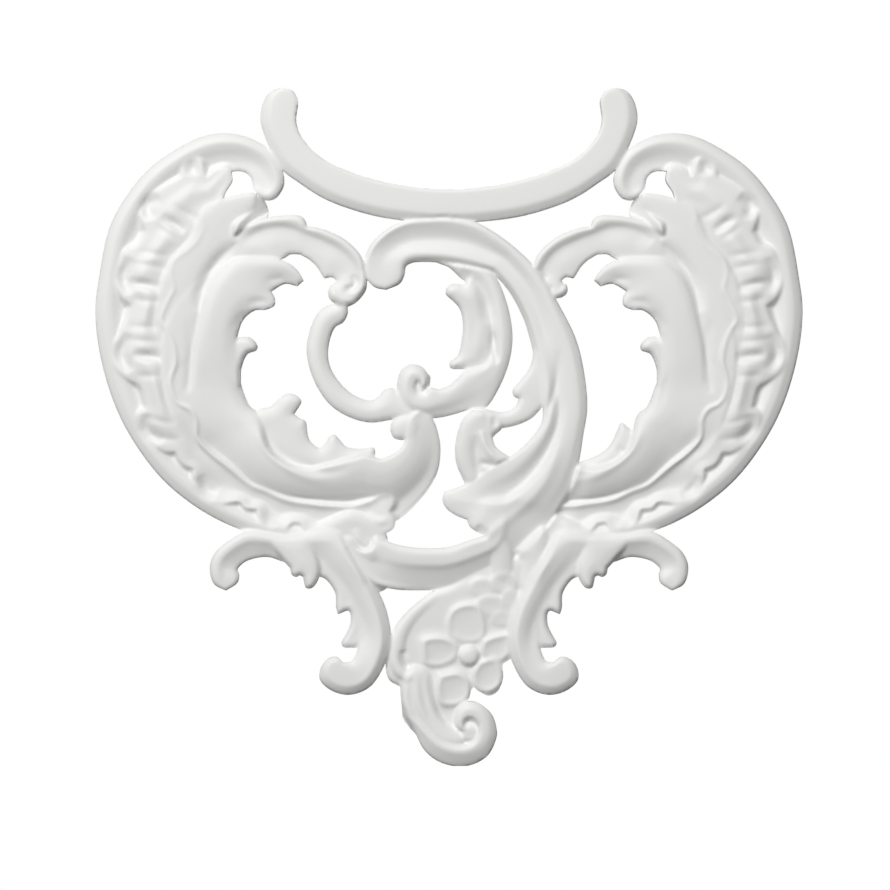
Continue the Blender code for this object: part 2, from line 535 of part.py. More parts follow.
def foot_scroll(relief):
    """The small scroll below the C: a branch to the side and a stem down to a curl."""
    web = ring([(-120, -118), (-98, -110), (-66, -126), (-60, -150), (-62, -186), (-85, -190),
                (-105, -165), (-140, -150), (-140, -130), (-120, -118)])
    relief.lobe(web, {0: 9, 8: 11}, tilt=(-0.02, 0.08))
    outer = curve([(-223, -188.7), (-235, -182), (-239.3, -165), (-234, -151), (-219, -138),
                   (-202, -129.5), (-174, -133), (-150, -134), (-130, -128), (-112, -128), (-95, -150),
                   (-75, -182), (-65, -202), (-59.5, -222), (-58, -240), (-64, -262), (-79, -285),
                   (-99, -293), (-117, -289), (-129, -278), (-128, -265), (-120, -256.5),
                   (-112, -255.5), (-105, -261)])
    inner = curve([(-223, -188.7), (-212, -181), (-210.5, -172), (-212, -168), (-204, -160),
                   (-189, -155.5), (-179, -155.5), (-164, -160), (-150, -158), (-136, -162)],
                  [(-124, -172), (-110, -188), (-98, -210), (-90, -230), (-91.6, -247), (-97.6, -259.5),
                   (-105, -261)])
    relief.band(outer, inner, (0, 0.14, 0.3, 0.5, 0.8, 1),
                {0: (13, 15, 16, 16, 16, 14), 0.06: (14, 17, 17.5, 16, 15, 13),
                 0.12: (14, 17.3, 17.6, 15, 12, 10.5), 0.3: (14, 17.3, 17.5, 15, 11.5, 9.5),
                 0.45: (12, 15, 17.5, 16, 12, 11), 0.6: (9.5, 13.5, 17.5, 16, 11, 9),
                 0.75: (10, 13.5, 17.5, 16, 11, 9), 0.9: (11, 14, 16.5, 16.5, 14, 12),
                 1: (13, 16, 17, 17, 15, 14)}, soft=5)
    lobe = ring([(-159, -166), (-157, -173), (-153, -175), (-149, -173.5), (-146, -175)],
                [(-145, -180), (-143, -186), (-137, -186), (-131, -178), (-129, -166), (-133, -150),
                 (-140, -134), (-160, -134), (-180, -140), (-168, -156), (-159, -166)])
    relief.lobe(lobe, {0: 14.5, 4: 17.5, 12: 19}, fall=2)
    leaf = ring([(-134, -174), (-124, -177), (-114, -191), (-113, -206), (-111, -212.5)],
                [(-101, -209), (-99, -211), (-99, -223), (-108, -241)],
                [(-106, -245), (-91, -246)],
                [(-80, -230), (-92, -185), (-110, -160), (-134, -160), (-134, -174)])
    relief.lobe(leaf, {0: 9, 5: 11, 14: 10})
    relief.stroke(curve([(-112, -128), (-104, -146), (-94, -164), (-84, -182)]), 4.5, 2.4, ends=0.3)


# The middle, which is different on the two sides

def open_circle(relief):
    """The thin round scroll on the left of the middle, flat-topped with rounded edges."""
    outer = curve([(-102, 98), (-118, 97.5), (-129.5, 91), (-137, 78), (-141, 64), (-142.5, 52),
                   (-139, 32), (-129, 10), (-117, -4.5), (-99, -15.5), (-79, -20.5), (-59, -18),
                   (-45, -16), (-35, -14)])
    inner = curve([(-102, 98), (-101.5, 89), (-106, 80), (-114, 75), (-120, 60), (-121, 44), (-116, 29),
                   (-102, 12), (-89, 4), (-77, 1.5), (-70, 6), (-64, 12.5), (-56, 13.5), (-50, 9),
                   (-42, 0), (-35, -14)])
    relief.band(outer, inner, (0, 0.25, 0.5, 0.8, 1),
                {0: (12, 15, 16, 15, 12), 0.5: (12, 15.5, 16, 14, 12), 1: (11, 14.5, 15, 14, 12)})


def moon(relief):
    """The crescent on the right of the middle, which runs on below into a loop and its eye."""
    outer = curve([(-30, 148), (0, 149), (26, 144), (44, 129.5), (57, 102), (63.5, 68), (60.5, 41), (49, 12),
                   (36, -6), (23, -7), (6, -12), (-9, -15.5), (-24, -16), (-39, -12), (-49, -1),
                   (-52, 17), (-48, 31), (-38, 37.8), (-27, 35), (-21, 27), (-22, 18), (-26, 13)])
    inner = curve([(-30, 148), (-10, 139), (0, 135), (11, 125), (30, 110), (42, 85), (44, 60), (38, 38),
                   (15, 30), (5, 20), (-9, 13), (-19, 14), (-24, 8), (-32, 9), (-34, 16), (-31, 21),
                   (-26, 13)])
    relief.band(outer, inner, (0, 0.2, 0.5, 0.8, 1),
                {0: (10, 16, 16, 14, 10), 0.3: (11, 14.5, 16.5, 14, 11), 0.5: (11, 14, 16, 16, 13),
                 0.65: (10, 12, 15.5, 17, 15), 0.8: (11, 14, 17, 16.5, 13), 1: (12, 16, 18, 16.5, 14)},
                soft=5)
    eye = ring([(-37, 24), (-26, 30), (-19, 26), (-19, 16), (-16, 12), (-26, 6), (-36, 8), (-37, 24)])
    relief.lobe(eye, {0: 10.5, 5: 12}, fall=1)
    leaf = ring([(-3, 113), (1, 117), (6, 118.5), (15, 117)],
                [(25, 130), (38, 115), (43, 90), (45, 60), (44, 30), (30, 8), (10, 10)],
                [(5, 19.5), (13, 27), (15, 33)],
                [(2, 34), (0.5, 39), (9, 47), (12, 58), (14, 78), (11, 93), (4.5, 101), (-3, 108), (-3, 113)])
    relief.lobe(leaf, {0: 11.5, 5: 14, 14: 15.5, 22: 16}, tilt=(-0.04, 0.03), merge=5)
    relief.stroke(curve([(44, 70), (46, 54), (47, 38)]), 3, -4.5, ends=0.3)
    relief.stroke(curve([(12, 131), (28, 121), (37, 103), (40, 78)]), 7, -4.5, ends=0.3)
    relief.strokes([[(20, 100), (26, 78), (24, 56)], [(16, 30), (30, 40), (38, 56)]], 5, -1)


def main_scroll(relief):
    """The great scroll: ball end, over the top, down the right and back along the bottom."""
    outer = curve([(-63, 112.5), (-74, 115), (-82, 123), (-85.5, 136), (-83, 147), (-78, 157.5),
                   (-64, 171.5), (-44, 181.5), (-19, 184.5), (0, 185), (26, 180), (51, 166), (81, 140.5),
                   (99, 117.5), (107, 103), (127, 63), (136, 24), (138.3, -7), (134.5, -32), (130, -60),
                   (121, -88), (103, -118), (81, -143), (41, -173), (0, -188), (-17, -188.5),
                   (-54, -187.5), (-75, -181.5), (-90, -165), (-102, -145), (-106, -134)])
    inner = curve([(-63, 112.5), (-49, 119), (-44.5, 128), (-43, 136), (-37, 139.5), (-19, 140.5),
                   (10, 137), (31, 133), (44, 130)],
                  [(59.5, 112), (69.5, 95), (76.5, 79), (81.5, 62), (84, 52), (89, 30), (94, -5), (93, -20),
                   (81, -38), (61, -55), (40, -66), (21, -80), (2, -88), (-4, -90), (-6.5, -98),
                   (-3, -106), (6, -113), (18, -118)],
                  [(21, -125), (36, -134)],
                  [(21, -138.5), (1, -145), (-24, -146.5), (-49, -143.5), (-74, -135)],
                  [(-80, -148), (-90, -146), (-98, -136), (-106, -134)])
    relief.band(inner, outer, (0, 0.16, 0.38, 0.5, 0.82, 0.9, 1),
                {0: (14, 17, 18, 18, 17.5, 17, 15), 0.04: (12, 16.5, 17, 17, 18, 18, 16),
                 0.09: (11, 17, 14.5, 13.5, 17.5, 19.5, 17), 0.18: (10.5, 17.5, 14.5, 13, 18.5, 20, 17),
                 0.22: (7, 16.5, 14, 13, 19, 20, 16.5), 0.28: (4.5, 16, 14.5, 14.5, 19.5, 19.5, 15.5),
                 0.33: (7, 16.5, 15, 16, 20, 19.5, 15),
                 0.38: (14, 18, 17, 18.5, 20.5, 18.5, 16), 0.44: (17, 20, 15.5, 18.5, 20.5, 18.5, 16),
                 0.5: (18, 19.5, 14, 19, 19.5, 17.5, 15.5), 0.56: (17, 17.5, 12.5, 20, 18, 16, 14.5),
                 0.62: (12, 14.5, 13.5, 19.5, 15.5, 13.5, 12.5), 0.68: (10, 14, 18.5, 17.5, 12, 10.5, 9),
                 0.74: (14, 17.5, 17.8, 14.8, 8.8, 7.5, 6), 0.86: (16, 18, 17.2, 14, 8, 6.5, 5),
                 0.94: (15.5, 16.5, 15.5, 14, 13.5, 15, 16), 1: (15, 15, 15, 15.5, 16, 16.5, 17)},
                soft=7, over=True)
    relief.stroke(curve([(110, 52), (109, 32), (104, 8), (97, -12), (92, -24)]), 3.2, -2.6, ends=0.3)
    relief.stroke(curve([(112, -40), (104, -62), (96, -79), (81, -98), (61, -116), (36, -134), (2, -145)]),
                  5, 1.6)
    relief.stroke(curve([(-95, -127), (-90, -136), (-80, -147), (-74, -158)]), 4, 2.6, ends=0.3)
    relief.stroke(curve([(142, -30), (137, -60), (127, -90), (108, -120), (90, -140)]), 8, -2.4, ends=0.3)
    relief.stroke(curve([(28, -124), (34, -130), (40, -132)]), 4, -3, ends=0.3)


def stem_leaf(relief):
    """The leaf on the left of the great scroll's stem, reaching back to the small C end."""
    shape = ring([(85, 52), (82, 37), (78, 30), (71, 21), (64, 12), (65, 6), (70, 3)],
                 [(66, -5), (59, -9), (51, -10), (41, -8), (35, -7), (27, -15), (40, -26), (54, -26),
                  (71, -22), (83, -16), (91, -8)],
                 [(98, 0), (112, 25), (112, 50), (98, 68), (85, 52)])
    relief.lobe(shape, {0: 13, 5: 15, 14: 15.5}, fall=2)


def flower_plaque(relief):
    """The ground of the hanging flower spray, with the C rim on its left and the hook below."""
    shape = ring([(-17, -190), (-39, -207), (-54, -225), (-61, -245), (-63.5, -262), (-60, -278),
                  (-49, -285)],
                 [(-47, -308), (-46, -317), (-40, -325.5), (-33, -333), (-25, -348), (-12, -359),
                  (6, -364.5), (23, -363), (39, -353.5), (47.5, -336), (48, -329), (43, -313),
                  (31, -302), (19, -300)],
                 [(20, -290), (25, -285.5)],
                 [(40, -294), (50, -288), (53, -273), (54, -262)],
                 [(62, -256.5), (73, -240), (80, -200), (80, -160), (40, -165), (0, -185), (-17, -190)])
    relief.lobe(shape, {0: 5.5, 8: 7, 30: 7}, tilt=(0, 0.03), merge=4)
    lip = curve([(2, -188), (-22, -201), (-40, -218), (-50, -236), (-52, -252), (-49, -268), (-42, -275)])
    relief.bar(lip, {0: 4, 0.3: 6, 0.6: 8, 0.8: 9, 1: 6}, {0: 6, 0.3: 10, 0.7: 11, 1: 10.5}, foot=0.6)
    relief.stroke(curve([(-46, -248), (-45, -260), (-38, -267)]), 3.5, -3.5)
    plume = ring([(-37, -264), (-25, -267), (-17, -278), (-15, -292), (-10, -312), (2, -326), (14, -334),
                  (14, -344), (1, -347.5), (-12, -344), (-25, -335), (-36, -322), (-45, -308),
                  (-48, -290), (-44, -275), (-37, -264)])
    relief.lobe(plume, {0: 10, 6: 12.5, 16: 13.5}, tilt=(-0.03, -0.04), merge=8)
    relief.strokes([[(-38, -276), (-38, -296), (-31, -314), (-14, -333)],
                    [(-28, -272), (-26, -292), (-19, -314), (-2, -334)]], 3, -1.6)
    relief.stroke(curve([(-20, -274), (-17, -292), (-10, -312), (2, -327)]), 2.4, -1.6)


def hook(relief):
    """The curl at the very bottom, rolled round its eye."""
    outer = curve([(-44, -312), (-38, -323), (-33, -333), (-25, -348), (-12, -359), (6, -364.5), (23, -363),
                   (39, -353.5), (47.5, -336), (48, -329), (43, -313), (31, -302), (19, -300), (10, -306),
                   (7, -316), (9, -326), (16, -329)])
    inner = curve([(-44, -312), (-32, -319), (-20, -331), (-5, -341), (11, -344.5), (23, -341), (29, -332),
                   (29, -323), (24, -317), (18, -316.5), (15, -320), (16, -329)])
    relief.band(outer, inner, (0, 0.15, 0.45, 0.75, 1),
                {0: (9, 10, 11, 12, 12), 0.2: (8, 10, 12.8, 15, 14.5), 0.5: (9, 11.5, 14.5, 16.5, 15),
                 0.75: (10, 13, 16, 16, 13.5), 0.92: (11, 13, 15, 15, 12.5), 1: (13, 14, 14, 14, 13)},
                edge=2, soft=5)
    floor = ring([(8, -308), (30, -308), (34, -326), (18, -334), (8, -326), (8, -308)])
    relief.lobe(floor, {0: 8, 5: 9.5}, merge=3)
    eye = ring([(14, -338), (22, -340), (28, -334), (27, -326), (20, -323), (14, -328), (14, -338)])
    relief.lobe(eye, {0: 12.5, 5: 13}, merge=5)


PETALS = (([(-28, -246), (-27, -238), (-10, -234), (6, -240), (10, -250), (6, -259), (-12, -266),
            (-25, -262), (-28, -246)], (-0.04, 0.1)),
          ([(-2, -234), (-3, -220), (3, -207), (17, -201), (30, -203), (36, -218), (36, -234), (28, -241),
            (12, -241), (-2, -234)], (0.02, 0.09)),
          ([(34, -238), (46, -233), (62, -232), (64, -247), (53, -260), (38, -258), (32, -248), (34, -238)],
           (-0.08, 0.08)),
          ([(30, -259), (46, -256), (54, -270), (51, -285), (38, -292), (26, -286), (23, -272), (30, -259)],
           (0, 0.08)),
          ([(-10, -273), (10, -270), (21, -280), (19, -298), (6, -305), (-8, -303), (-13, -288), (-10, -273)],
           (-0.04, 0.06)))


def flower(relief):
    """Five dished petals with raised rims round a button, and the small flower and leaves above."""
    for points, tilt in PETALS:
        relief.lobe(ring(points), {0: 9, 3: 10.8, 7: 9.4, 16: 8.6}, tilt=tilt, edge=1.2, fall=0.6, merge=3)
    angle = np.linspace(0, 2 * np.pi, 60, endpoint=False)
    button = np.stack([20.5 + 10 * np.cos(angle), -254 + 10 * np.sin(angle)], 1)
    relief.lobe(button, {0: 11, 4: 13.5, 9: 14}, edge=1.8)
    for x, z, wide, high, top in ((34, -186, 15, 11, 11), (55, -181, 15, 12, 12), (61, -200, 10, 14, 11.5),
                                  (42, -204, 17, 12, 11), (54, -217, 13, 9, 10.5)):
        petal = np.stack([x + wide * np.cos(angle), z + high * np.sin(angle)], 1)
        relief.lobe(petal, {0: top - 1.5, 4: top - 0.5, 12: top - 1}, tilt=(0, 0.09), edge=1.4, fall=0.6)
    bud = np.stack([53 + 11 * np.cos(angle), -159 + 20 * np.sin(angle)], 1)
    relief.lobe(bud, {0: 11, 4: 13, 10: 14}, edge=1.6, tilt=(0, 0.1), merge=4)
    leaf = ring([(67, -148), (81, -134), (95, -124), (99, -133), (98, -150), (100, -158), (96, -168),
                 (91, -182), (78, -192), (70, -184), (74, -162), (67, -148)])
    relief.lobe(leaf, {0: 9, 6: 12.5, 14: 14}, tilt=(0.03, 0.06), edge=2.6, fall=0.6, merge=6)


# The whole

def carve():
    """All the forms joined: the mirrored ones first, then the middle laid over them."""
    half = Relief()
    for form in (rim, crescent, inner_face, leaf_behind_frill, leaf_in_middle, ruffle, ruffle_folds,
                 leaf_over_top, foot_scroll):
        form(half)
    relief = Relief()
    left = relief.x <= 0
    relief.top = np.where(left, half.top, half.top[:, ::-1])
    relief.inside = np.where(left, half.inside, half.inside[:, ::-1])
    for form in (curls, scroll_knobs, leaf_below, leaf_below_right, open_circle, moon, main_scroll,
                 stem_leaf, flower_plaque, hook, flower):
        form(relief)
    relief.top = softened(relief.top, (relief.inside > -1).astype(float), SMOOTHING / GRID_STEP)
    return relief


# The solid

def surface(relief):
    """The relief at real size, as triangles cut off where it meets its outline.

    Each grid cell is two triangles; a triangle that the outline crosses keeps the part inside it.
    """
    rows, cols = relief.top.shape
    x, z = np.meshgrid(relief.x, relief.z)
    inside = relief.inside.ravel()
    inside = np.where(np.abs(inside) < SNAP * GRID_STEP, -SNAP * GRID_STEP, inside)
    points = np.stack([x.ravel(), relief.top.ravel(), z.ravel()], 1)
    index = np.arange(rows * cols).reshape(rows, cols)
    a, b = index[:-1, :-1].ravel(), index[:-1, 1:].ravel()
    c, d = index[1:, 1:].ravel(), index[1:, :-1].ravel()
    triangles = np.concatenate([np.stack([a, b, c], 1), np.stack([a, c, d], 1)])
    within = inside[triangles] > 0
    count = within.sum(1)
    whole = triangles[count == 3]

    def turned(kind, wanted):
        """The triangles with this many corners inside, turned so that the odd corner is first."""
        chosen = triangles[count == kind]
        first = np.argmax((inside[chosen] > 0) == wanted, axis=1)
        return chosen[np.arange(len(chosen))[:, None], (first[:, None] + np.arange(3)) % 3]

    one = turned(1, True)
    two = turned(2, False)
    pairs = np.concatenate([one[:, [0, 1]], one[:, [0, 2]], two[:, [1, 0]], two[:, [2, 0]]])
    edges, place = np.unique(np.sort(pairs, axis=1), axis=0, return_inverse=True)
    place = place.reshape(-1) + len(points)
    start, end = inside[edges[:, 0]], inside[edges[:, 1]]
    share = (start / (start - end))[:, None]
    cut = points[edges[:, 0]] * (1 - share) + points[edges[:, 1]] * share
    n, m = len(one), len(two)
    p, q = place[:n], place[n:2 * n]
    r, s = place[2 * n:2 * n + m], place[2 * n + m:]
    faces = np.concatenate([whole, np.stack([one[:, 0], p, q], 1),
                            np.stack([two[:, 1], two[:, 2], r], 1), np.stack([two[:, 2], s, r], 1)])
    points = np.concatenate([points, cut])
    used, faces = np.unique(largest_piece(faces), return_inverse=True)
    points = points[used]
    plan = WIDTH / np.ptp(points[:, 0])
    above = np.maximum(points[:, 1] - LOWEST, 0)
    height = BACKING + CARVING_HEIGHT * above / above.max()
    return np.stack([points[:, 0] * plan, -height, points[:, 2] * plan], 1), faces.reshape(-1, 3)


def largest_piece(faces):
    """Only the faces that hang together with most of the others."""
    label = np.arange(faces.max() + 1)
    while True:
        lowest = label[faces].min(1)
        before = label.copy()
        for corner in range(3):
            np.minimum.at(label, faces[:, corner], lowest)
        label = label[label]
        if (label == before).all():
            break
    names, counts = np.unique(label[faces[:, 0]], return_counts=True)
    return faces[label[faces[:, 0]] == names[np.argmax(counts)]]


def closed_solid(points, faces):
    """The surface, its shadow on the back plane and the walls between the two."""
    ends = np.concatenate([faces[:, [0, 1]], faces[:, [1, 2]], faces[:, [2, 0]]])
    ranked = np.sort(ends, axis=1)
    _, first, count = np.unique(ranked, axis=0, return_index=True, return_counts=True)
    rim_edges = ends[first[count == 1]]
    back = points * (1, 0, 1)
    offset = len(points)
    a, b = rim_edges[:, 0], rim_edges[:, 1]
    walls = np.concatenate([np.stack([b, a, a + offset], 1), np.stack([b, a + offset, b + offset], 1)])
    return np.concatenate([points, back]), np.concatenate([faces, faces[:, ::-1] + offset, walls])


def thinned(points, faces, wanted):
    """The mesh with its flatter faces merged until about this many triangles are left."""
    mesh = bpy.data.meshes.new("carving")
    mesh.from_pydata(points.tolist(), [], faces.tolist())
    helper = bpy.data.objects.new("carving", mesh)
    bpy.context.scene.collection.objects.link(helper)
    modifier = helper.modifiers.new("thin", "DECIMATE")
    modifier.ratio = min(wanted / len(faces), 1)
    graph = bpy.context.evaluated_depsgraph_get()
    made = bpy.data.meshes.new_from_object(helper.evaluated_get(graph))
    bpy.data.objects.remove(helper)
    bpy.data.meshes.remove(mesh)
    return made


def plaster_white():
    """The white primer of the casting."""
    material = bpy.data.materials.new("white primer")
    material.use_nodes = True
    shader = material.node_tree.nodes["Principled BSDF"]
    shader.inputs["Base Color"].default_value = PAINT_COLOUR
    shader.inputs["Roughness"].default_value = PAINT_ROUGHNESS
    return material


def build():
    for old in list(bpy.data.objects):
        bpy.data.objects.remove(old)
    mesh = thinned(*closed_solid(*surface(carve())), FACE_BUDGET)
    back = np.array([abs(vertex.co.y) < FLATNESS for vertex in mesh.vertices])
    for vertex in np.array(mesh.vertices)[back]:
        vertex.co.y = 0
    onlay = bpy.data.objects.new("onlay", mesh)
    bpy.context.scene.collection.objects.link(onlay)
    mesh.materials.clear()
    mesh.materials.append(plaster_white())


build()
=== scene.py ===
"""The looks of a carved rocaille onlay: one casting in white primer, seen straight from the front.

The carving is a height field over a drawing. X runs to the right and Z up, both from the middle
of the back, and the relief stands out towards -Y. The drawing and its heights are set out in
half-millimetre units and then scaled to the frame's real width and depth.
"""

import math

import bpy
import numpy as np
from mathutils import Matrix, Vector


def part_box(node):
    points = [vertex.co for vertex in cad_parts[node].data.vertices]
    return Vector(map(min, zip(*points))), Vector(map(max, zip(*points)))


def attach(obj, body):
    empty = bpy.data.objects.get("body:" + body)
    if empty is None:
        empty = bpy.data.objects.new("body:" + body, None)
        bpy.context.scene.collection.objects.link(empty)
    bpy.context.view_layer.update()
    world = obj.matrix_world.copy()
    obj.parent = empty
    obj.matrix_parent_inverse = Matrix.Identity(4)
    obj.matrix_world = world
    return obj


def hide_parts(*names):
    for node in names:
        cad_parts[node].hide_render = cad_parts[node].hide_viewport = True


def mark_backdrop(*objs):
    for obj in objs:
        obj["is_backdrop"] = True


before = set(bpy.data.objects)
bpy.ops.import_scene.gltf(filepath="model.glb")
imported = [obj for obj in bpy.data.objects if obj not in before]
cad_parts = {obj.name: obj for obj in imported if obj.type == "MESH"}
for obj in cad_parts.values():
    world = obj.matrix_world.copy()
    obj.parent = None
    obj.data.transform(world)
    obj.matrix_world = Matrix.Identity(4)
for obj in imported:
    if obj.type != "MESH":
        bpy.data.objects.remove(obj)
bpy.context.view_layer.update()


# The two outer Cs: the broad rolled rims that frame the onlay on both sides. Each has a rounded
# lip on its outer side and a cove within, and is hooked over at the top. The whole onlay is one
# casting, so this section also has the drawing sheet that every form is carved on.

DRAWN_LEFT = -360
DRAWN_RIGHT = 360
DRAWN_BOTTOM = -372
DRAWN_TOP = 320
GRID_STEP = 1.0
STEP_ALONG_CURVES = 1.0

# Every edge is rounded by this radius and falls away steeply below that; OUTSIDE is the empty sheet.
EDGE_RADIUS = 2.8
EDGE_FALL = 3.0
OUTSIDE = -60.0

# The fillet where two forms cross, and how much of the grid round a form is worked on with it.
MERGE = 2.0
OUTLINE_MARGIN = 8
BAR_MARGIN = 6
BAND_MARGIN = 4

# A band's table of heights, and how far its places across are smoothed.
TABLE_CELLS = 80
ACROSS_SMOOTHING = 1.5

# A stroke's bell is cut off at this many widths. Its ends fade by this power, a fold's over this
# share of its length.
STROKE_REACH = 2.5
FADE_POWER = 0.7
FOLD_ENDS = 0.4

# Distances worked out at a time, to spare memory, and values too small to divide by.
BLOCK_SIZE = 6_000_000
LEAST_WEIGHT = 1e-4
NARROWEST = 1e-6
TINY = 1e-12


def smooth_run(points):
    """A curve through all the points, evenly paced (a centripetal Catmull-Rom spline)."""
    points = np.asarray(points, float)
    if len(points) == 2:
        count = max(int(np.hypot(*(points[1] - points[0])) / STEP_ALONG_CURVES), 1)
        share = np.linspace(0, 1, count + 1)[:, None]
        return points[0] * (1 - share) + points[1] * share
    before = 2 * points[:1] - points[1:2]
    after = 2 * points[-1:] - points[-2:-1]
    knots = np.concatenate([before, points, after])
    pace = np.sqrt(np.hypot(*np.diff(knots, axis=0).T))
    time = np.concatenate([[0], np.cumsum(pace)])
    pieces = []
    for i in range(1, len(knots) - 2):
        length = np.hypot(*(knots[i + 1] - knots[i]))
        count = max(int(np.ceil(length / STEP_ALONG_CURVES)), 2)
        t = np.linspace(time[i], time[i + 1], count + 1)[:-1, None]
        p0, p1, p2, p3 = knots[i - 1:i + 3]
        t0, t1, t2, t3 = time[i - 1:i + 3]
        a1 = ((t1 - t) * p0 + (t - t0) * p1) / (t1 - t0)
        a2 = ((t2 - t) * p1 + (t - t1) * p2) / (t2 - t1)
        a3 = ((t3 - t) * p2 + (t - t2) * p3) / (t3 - t2)
        b1 = ((t2 - t) * a1 + (t - t0) * a2) / (t2 - t0)
        b2 = ((t3 - t) * a2 + (t - t1) * a3) / (t3 - t1)
        pieces.append(((t2 - t) * b1 + (t - t1) * b2) / (t2 - t1))
    pieces.append(points[-1:])
    return np.concatenate(pieces)


def curve(*runs):
    """Smooth runs of points, each going on from the end of the one before with a corner there."""
    parts = [smooth_run(runs[0])]
    for run in runs[1:]:
        parts.append(smooth_run([tuple(parts[-1][-1])] + list(run))[1:])
    return np.concatenate(parts)


def ring(*runs):
    """A closed outline: its runs come back to the first point."""
    return curve(*runs)[:-1]


def shares(path):
    """The share of a path's length at each of its points."""
    length = np.concatenate([[0], np.cumsum(np.hypot(*np.diff(path, axis=0).T))])
    return length / length[-1]


def eased(x, places, values):
    """A curve through (place, value) that never overshoots its values (a monotone cubic)."""
    places = np.asarray(places, float)
    values = np.asarray(values, float)
    width = np.diff(places)
    slope = np.diff(values) / width
    grade = np.empty_like(values)
    grade[0] = slope[0]
    grade[-1] = slope[-1]
    same_way = slope[:-1] * slope[1:] > 0
    total = np.where(same_way, slope[:-1] + slope[1:], 1)
    grade[1:-1] = np.where(same_way, 2 * slope[:-1] * slope[1:] / total, 0)
    x = np.clip(x, places[0], places[-1])
    i = np.clip(np.searchsorted(places, x, side="right") - 1, 0, len(width) - 1)
    u = (x - places[i]) / width[i]
    rise = values[i] * (1 + 2 * u) * (1 - u) ** 2 + values[i + 1] * u ** 2 * (3 - 2 * u)
    lean = grade[i] * u * (1 - u) ** 2 + grade[i + 1] * u ** 2 * (u - 1)
    return rise + width[i] * lean


def along(values, share):
    """One value for the whole path, or {share: value} read at each share."""
    if isinstance(values, dict):
        return eased(share, list(values), list(values.values()))
    return np.full(np.shape(share), float(values))


def largest(values):
    """The one value, or the greatest of {share: value}."""
    return max(values.values()) if isinstance(values, dict) else values


def closest_vertex(points, path):
    """The index of the path's nearest vertex to each point, a block of points at a time."""
    near = np.empty(len(points), int)
    block = max(1, int(BLOCK_SIZE / len(path)))
    square = (path ** 2).sum(1)
    for start in range(0, len(points), block):
        part = points[start:start + block]
        near[start:start + block] = np.argmin(square - 2 * part @ path.T, axis=1)
    return near


def nearest(points, path):
    """For each point: its distance to the path, its side (left is positive) and its share."""
    share = shares(path)
    near = closest_vertex(points, path)
    best = np.full(len(points), np.inf)
    cross = np.zeros(len(points))
    place = np.zeros(len(points))
    for first in (near - 1, near):
        usable = (first >= 0) & (first < len(path) - 1)
        first = np.clip(first, 0, len(path) - 2)
        step = path[first + 1] - path[first]
        away = points - path[first]
        u = np.clip((away * step).sum(1) / np.maximum((step ** 2).sum(1), TINY), 0, 1)
        distance = np.hypot(*(away - step * u[:, None]).T)
        better = usable & (distance < best)
        best = np.where(better, distance, best)
        cross = np.where(better, step[:, 0] * away[:, 1] - step[:, 1] * away[:, 0], cross)
        place = np.where(better, share[first] * (1 - u) + share[first + 1] * u, place)
    return best, np.sign(cross), place


def depth_inside(points, outline):
    """Distance to a closed outline, positive inside it, whichever way it runs."""
    after = np.roll(outline, -1, axis=0)
    if np.sum(outline[:, 0] * after[:, 1] - after[:, 0] * outline[:, 1]) < 0:
        outline = outline[::-1]
    gap = np.hypot(*(outline - np.roll(outline, 1, axis=0)).T)
    outline = outline[gap > NARROWEST]
    count = len(outline)
    step = np.roll(outline, -1, axis=0) - outline
    length = np.hypot(*step.T)[:, None]
    inward = np.stack([-step[:, 1], step[:, 0]], 1) / length
    corner = inward + np.roll(inward, 1, axis=0)
    near = closest_vertex(points, outline)
    best = np.full(len(points), np.inf)
    sign = np.ones(len(points))
    for first in ((near - 1) % count, near):
        away = points - outline[first]
        u = np.clip((away * step[first]).sum(1) / (step[first] ** 2).sum(1), 0, 1)[:, None]
        foot = away - step[first] * u
        distance = np.hypot(*foot.T)
        facing = np.where(u <= 0, corner[first], inward[first])
        facing = np.where(u >= 1, corner[(first + 1) % count], facing)
        better = distance < best
        best = np.where(better, distance, best)
        sign = np.where(better, np.where((foot * facing).sum(1) < 0, -1, 1), sign)
    return best * sign


def rounded_edge(inside, radius, fall):
    """How far an edge lies below its face: a quarter circle, then a steep side."""
    reach = np.clip(radius - inside, 0, radius)
    return radius - np.sqrt(radius ** 2 - reach ** 2) + fall * np.maximum(-inside, 0)


def running_means(field, radius):
    """The field smoothed by three running means of 2 * radius + 1 cells each way."""
    half = int(round(radius))
    for axis in (0, 1) * 3:
        pad = [(half + 1, half) if k == axis else (0, 0) for k in (0, 1)]
        total = np.cumsum(np.pad(field, pad, mode="edge"), axis=axis)
        place = np.arange(field.shape[axis])
        high = np.take(total, place + 2 * half + 1, axis=axis)
        field = (high - np.take(total, place, axis=axis)) / (2 * half + 1)
    return field


def softened(field, weight, radius):
    """The field smoothed over the cells that have weight."""
    if round(radius) < 1:
        return field
    spread = running_means(weight, radius)
    smooth = running_means(field * weight, radius) / (spread + TINY)
    return np.where(spread > LEAST_WEIGHT, smooth, field)


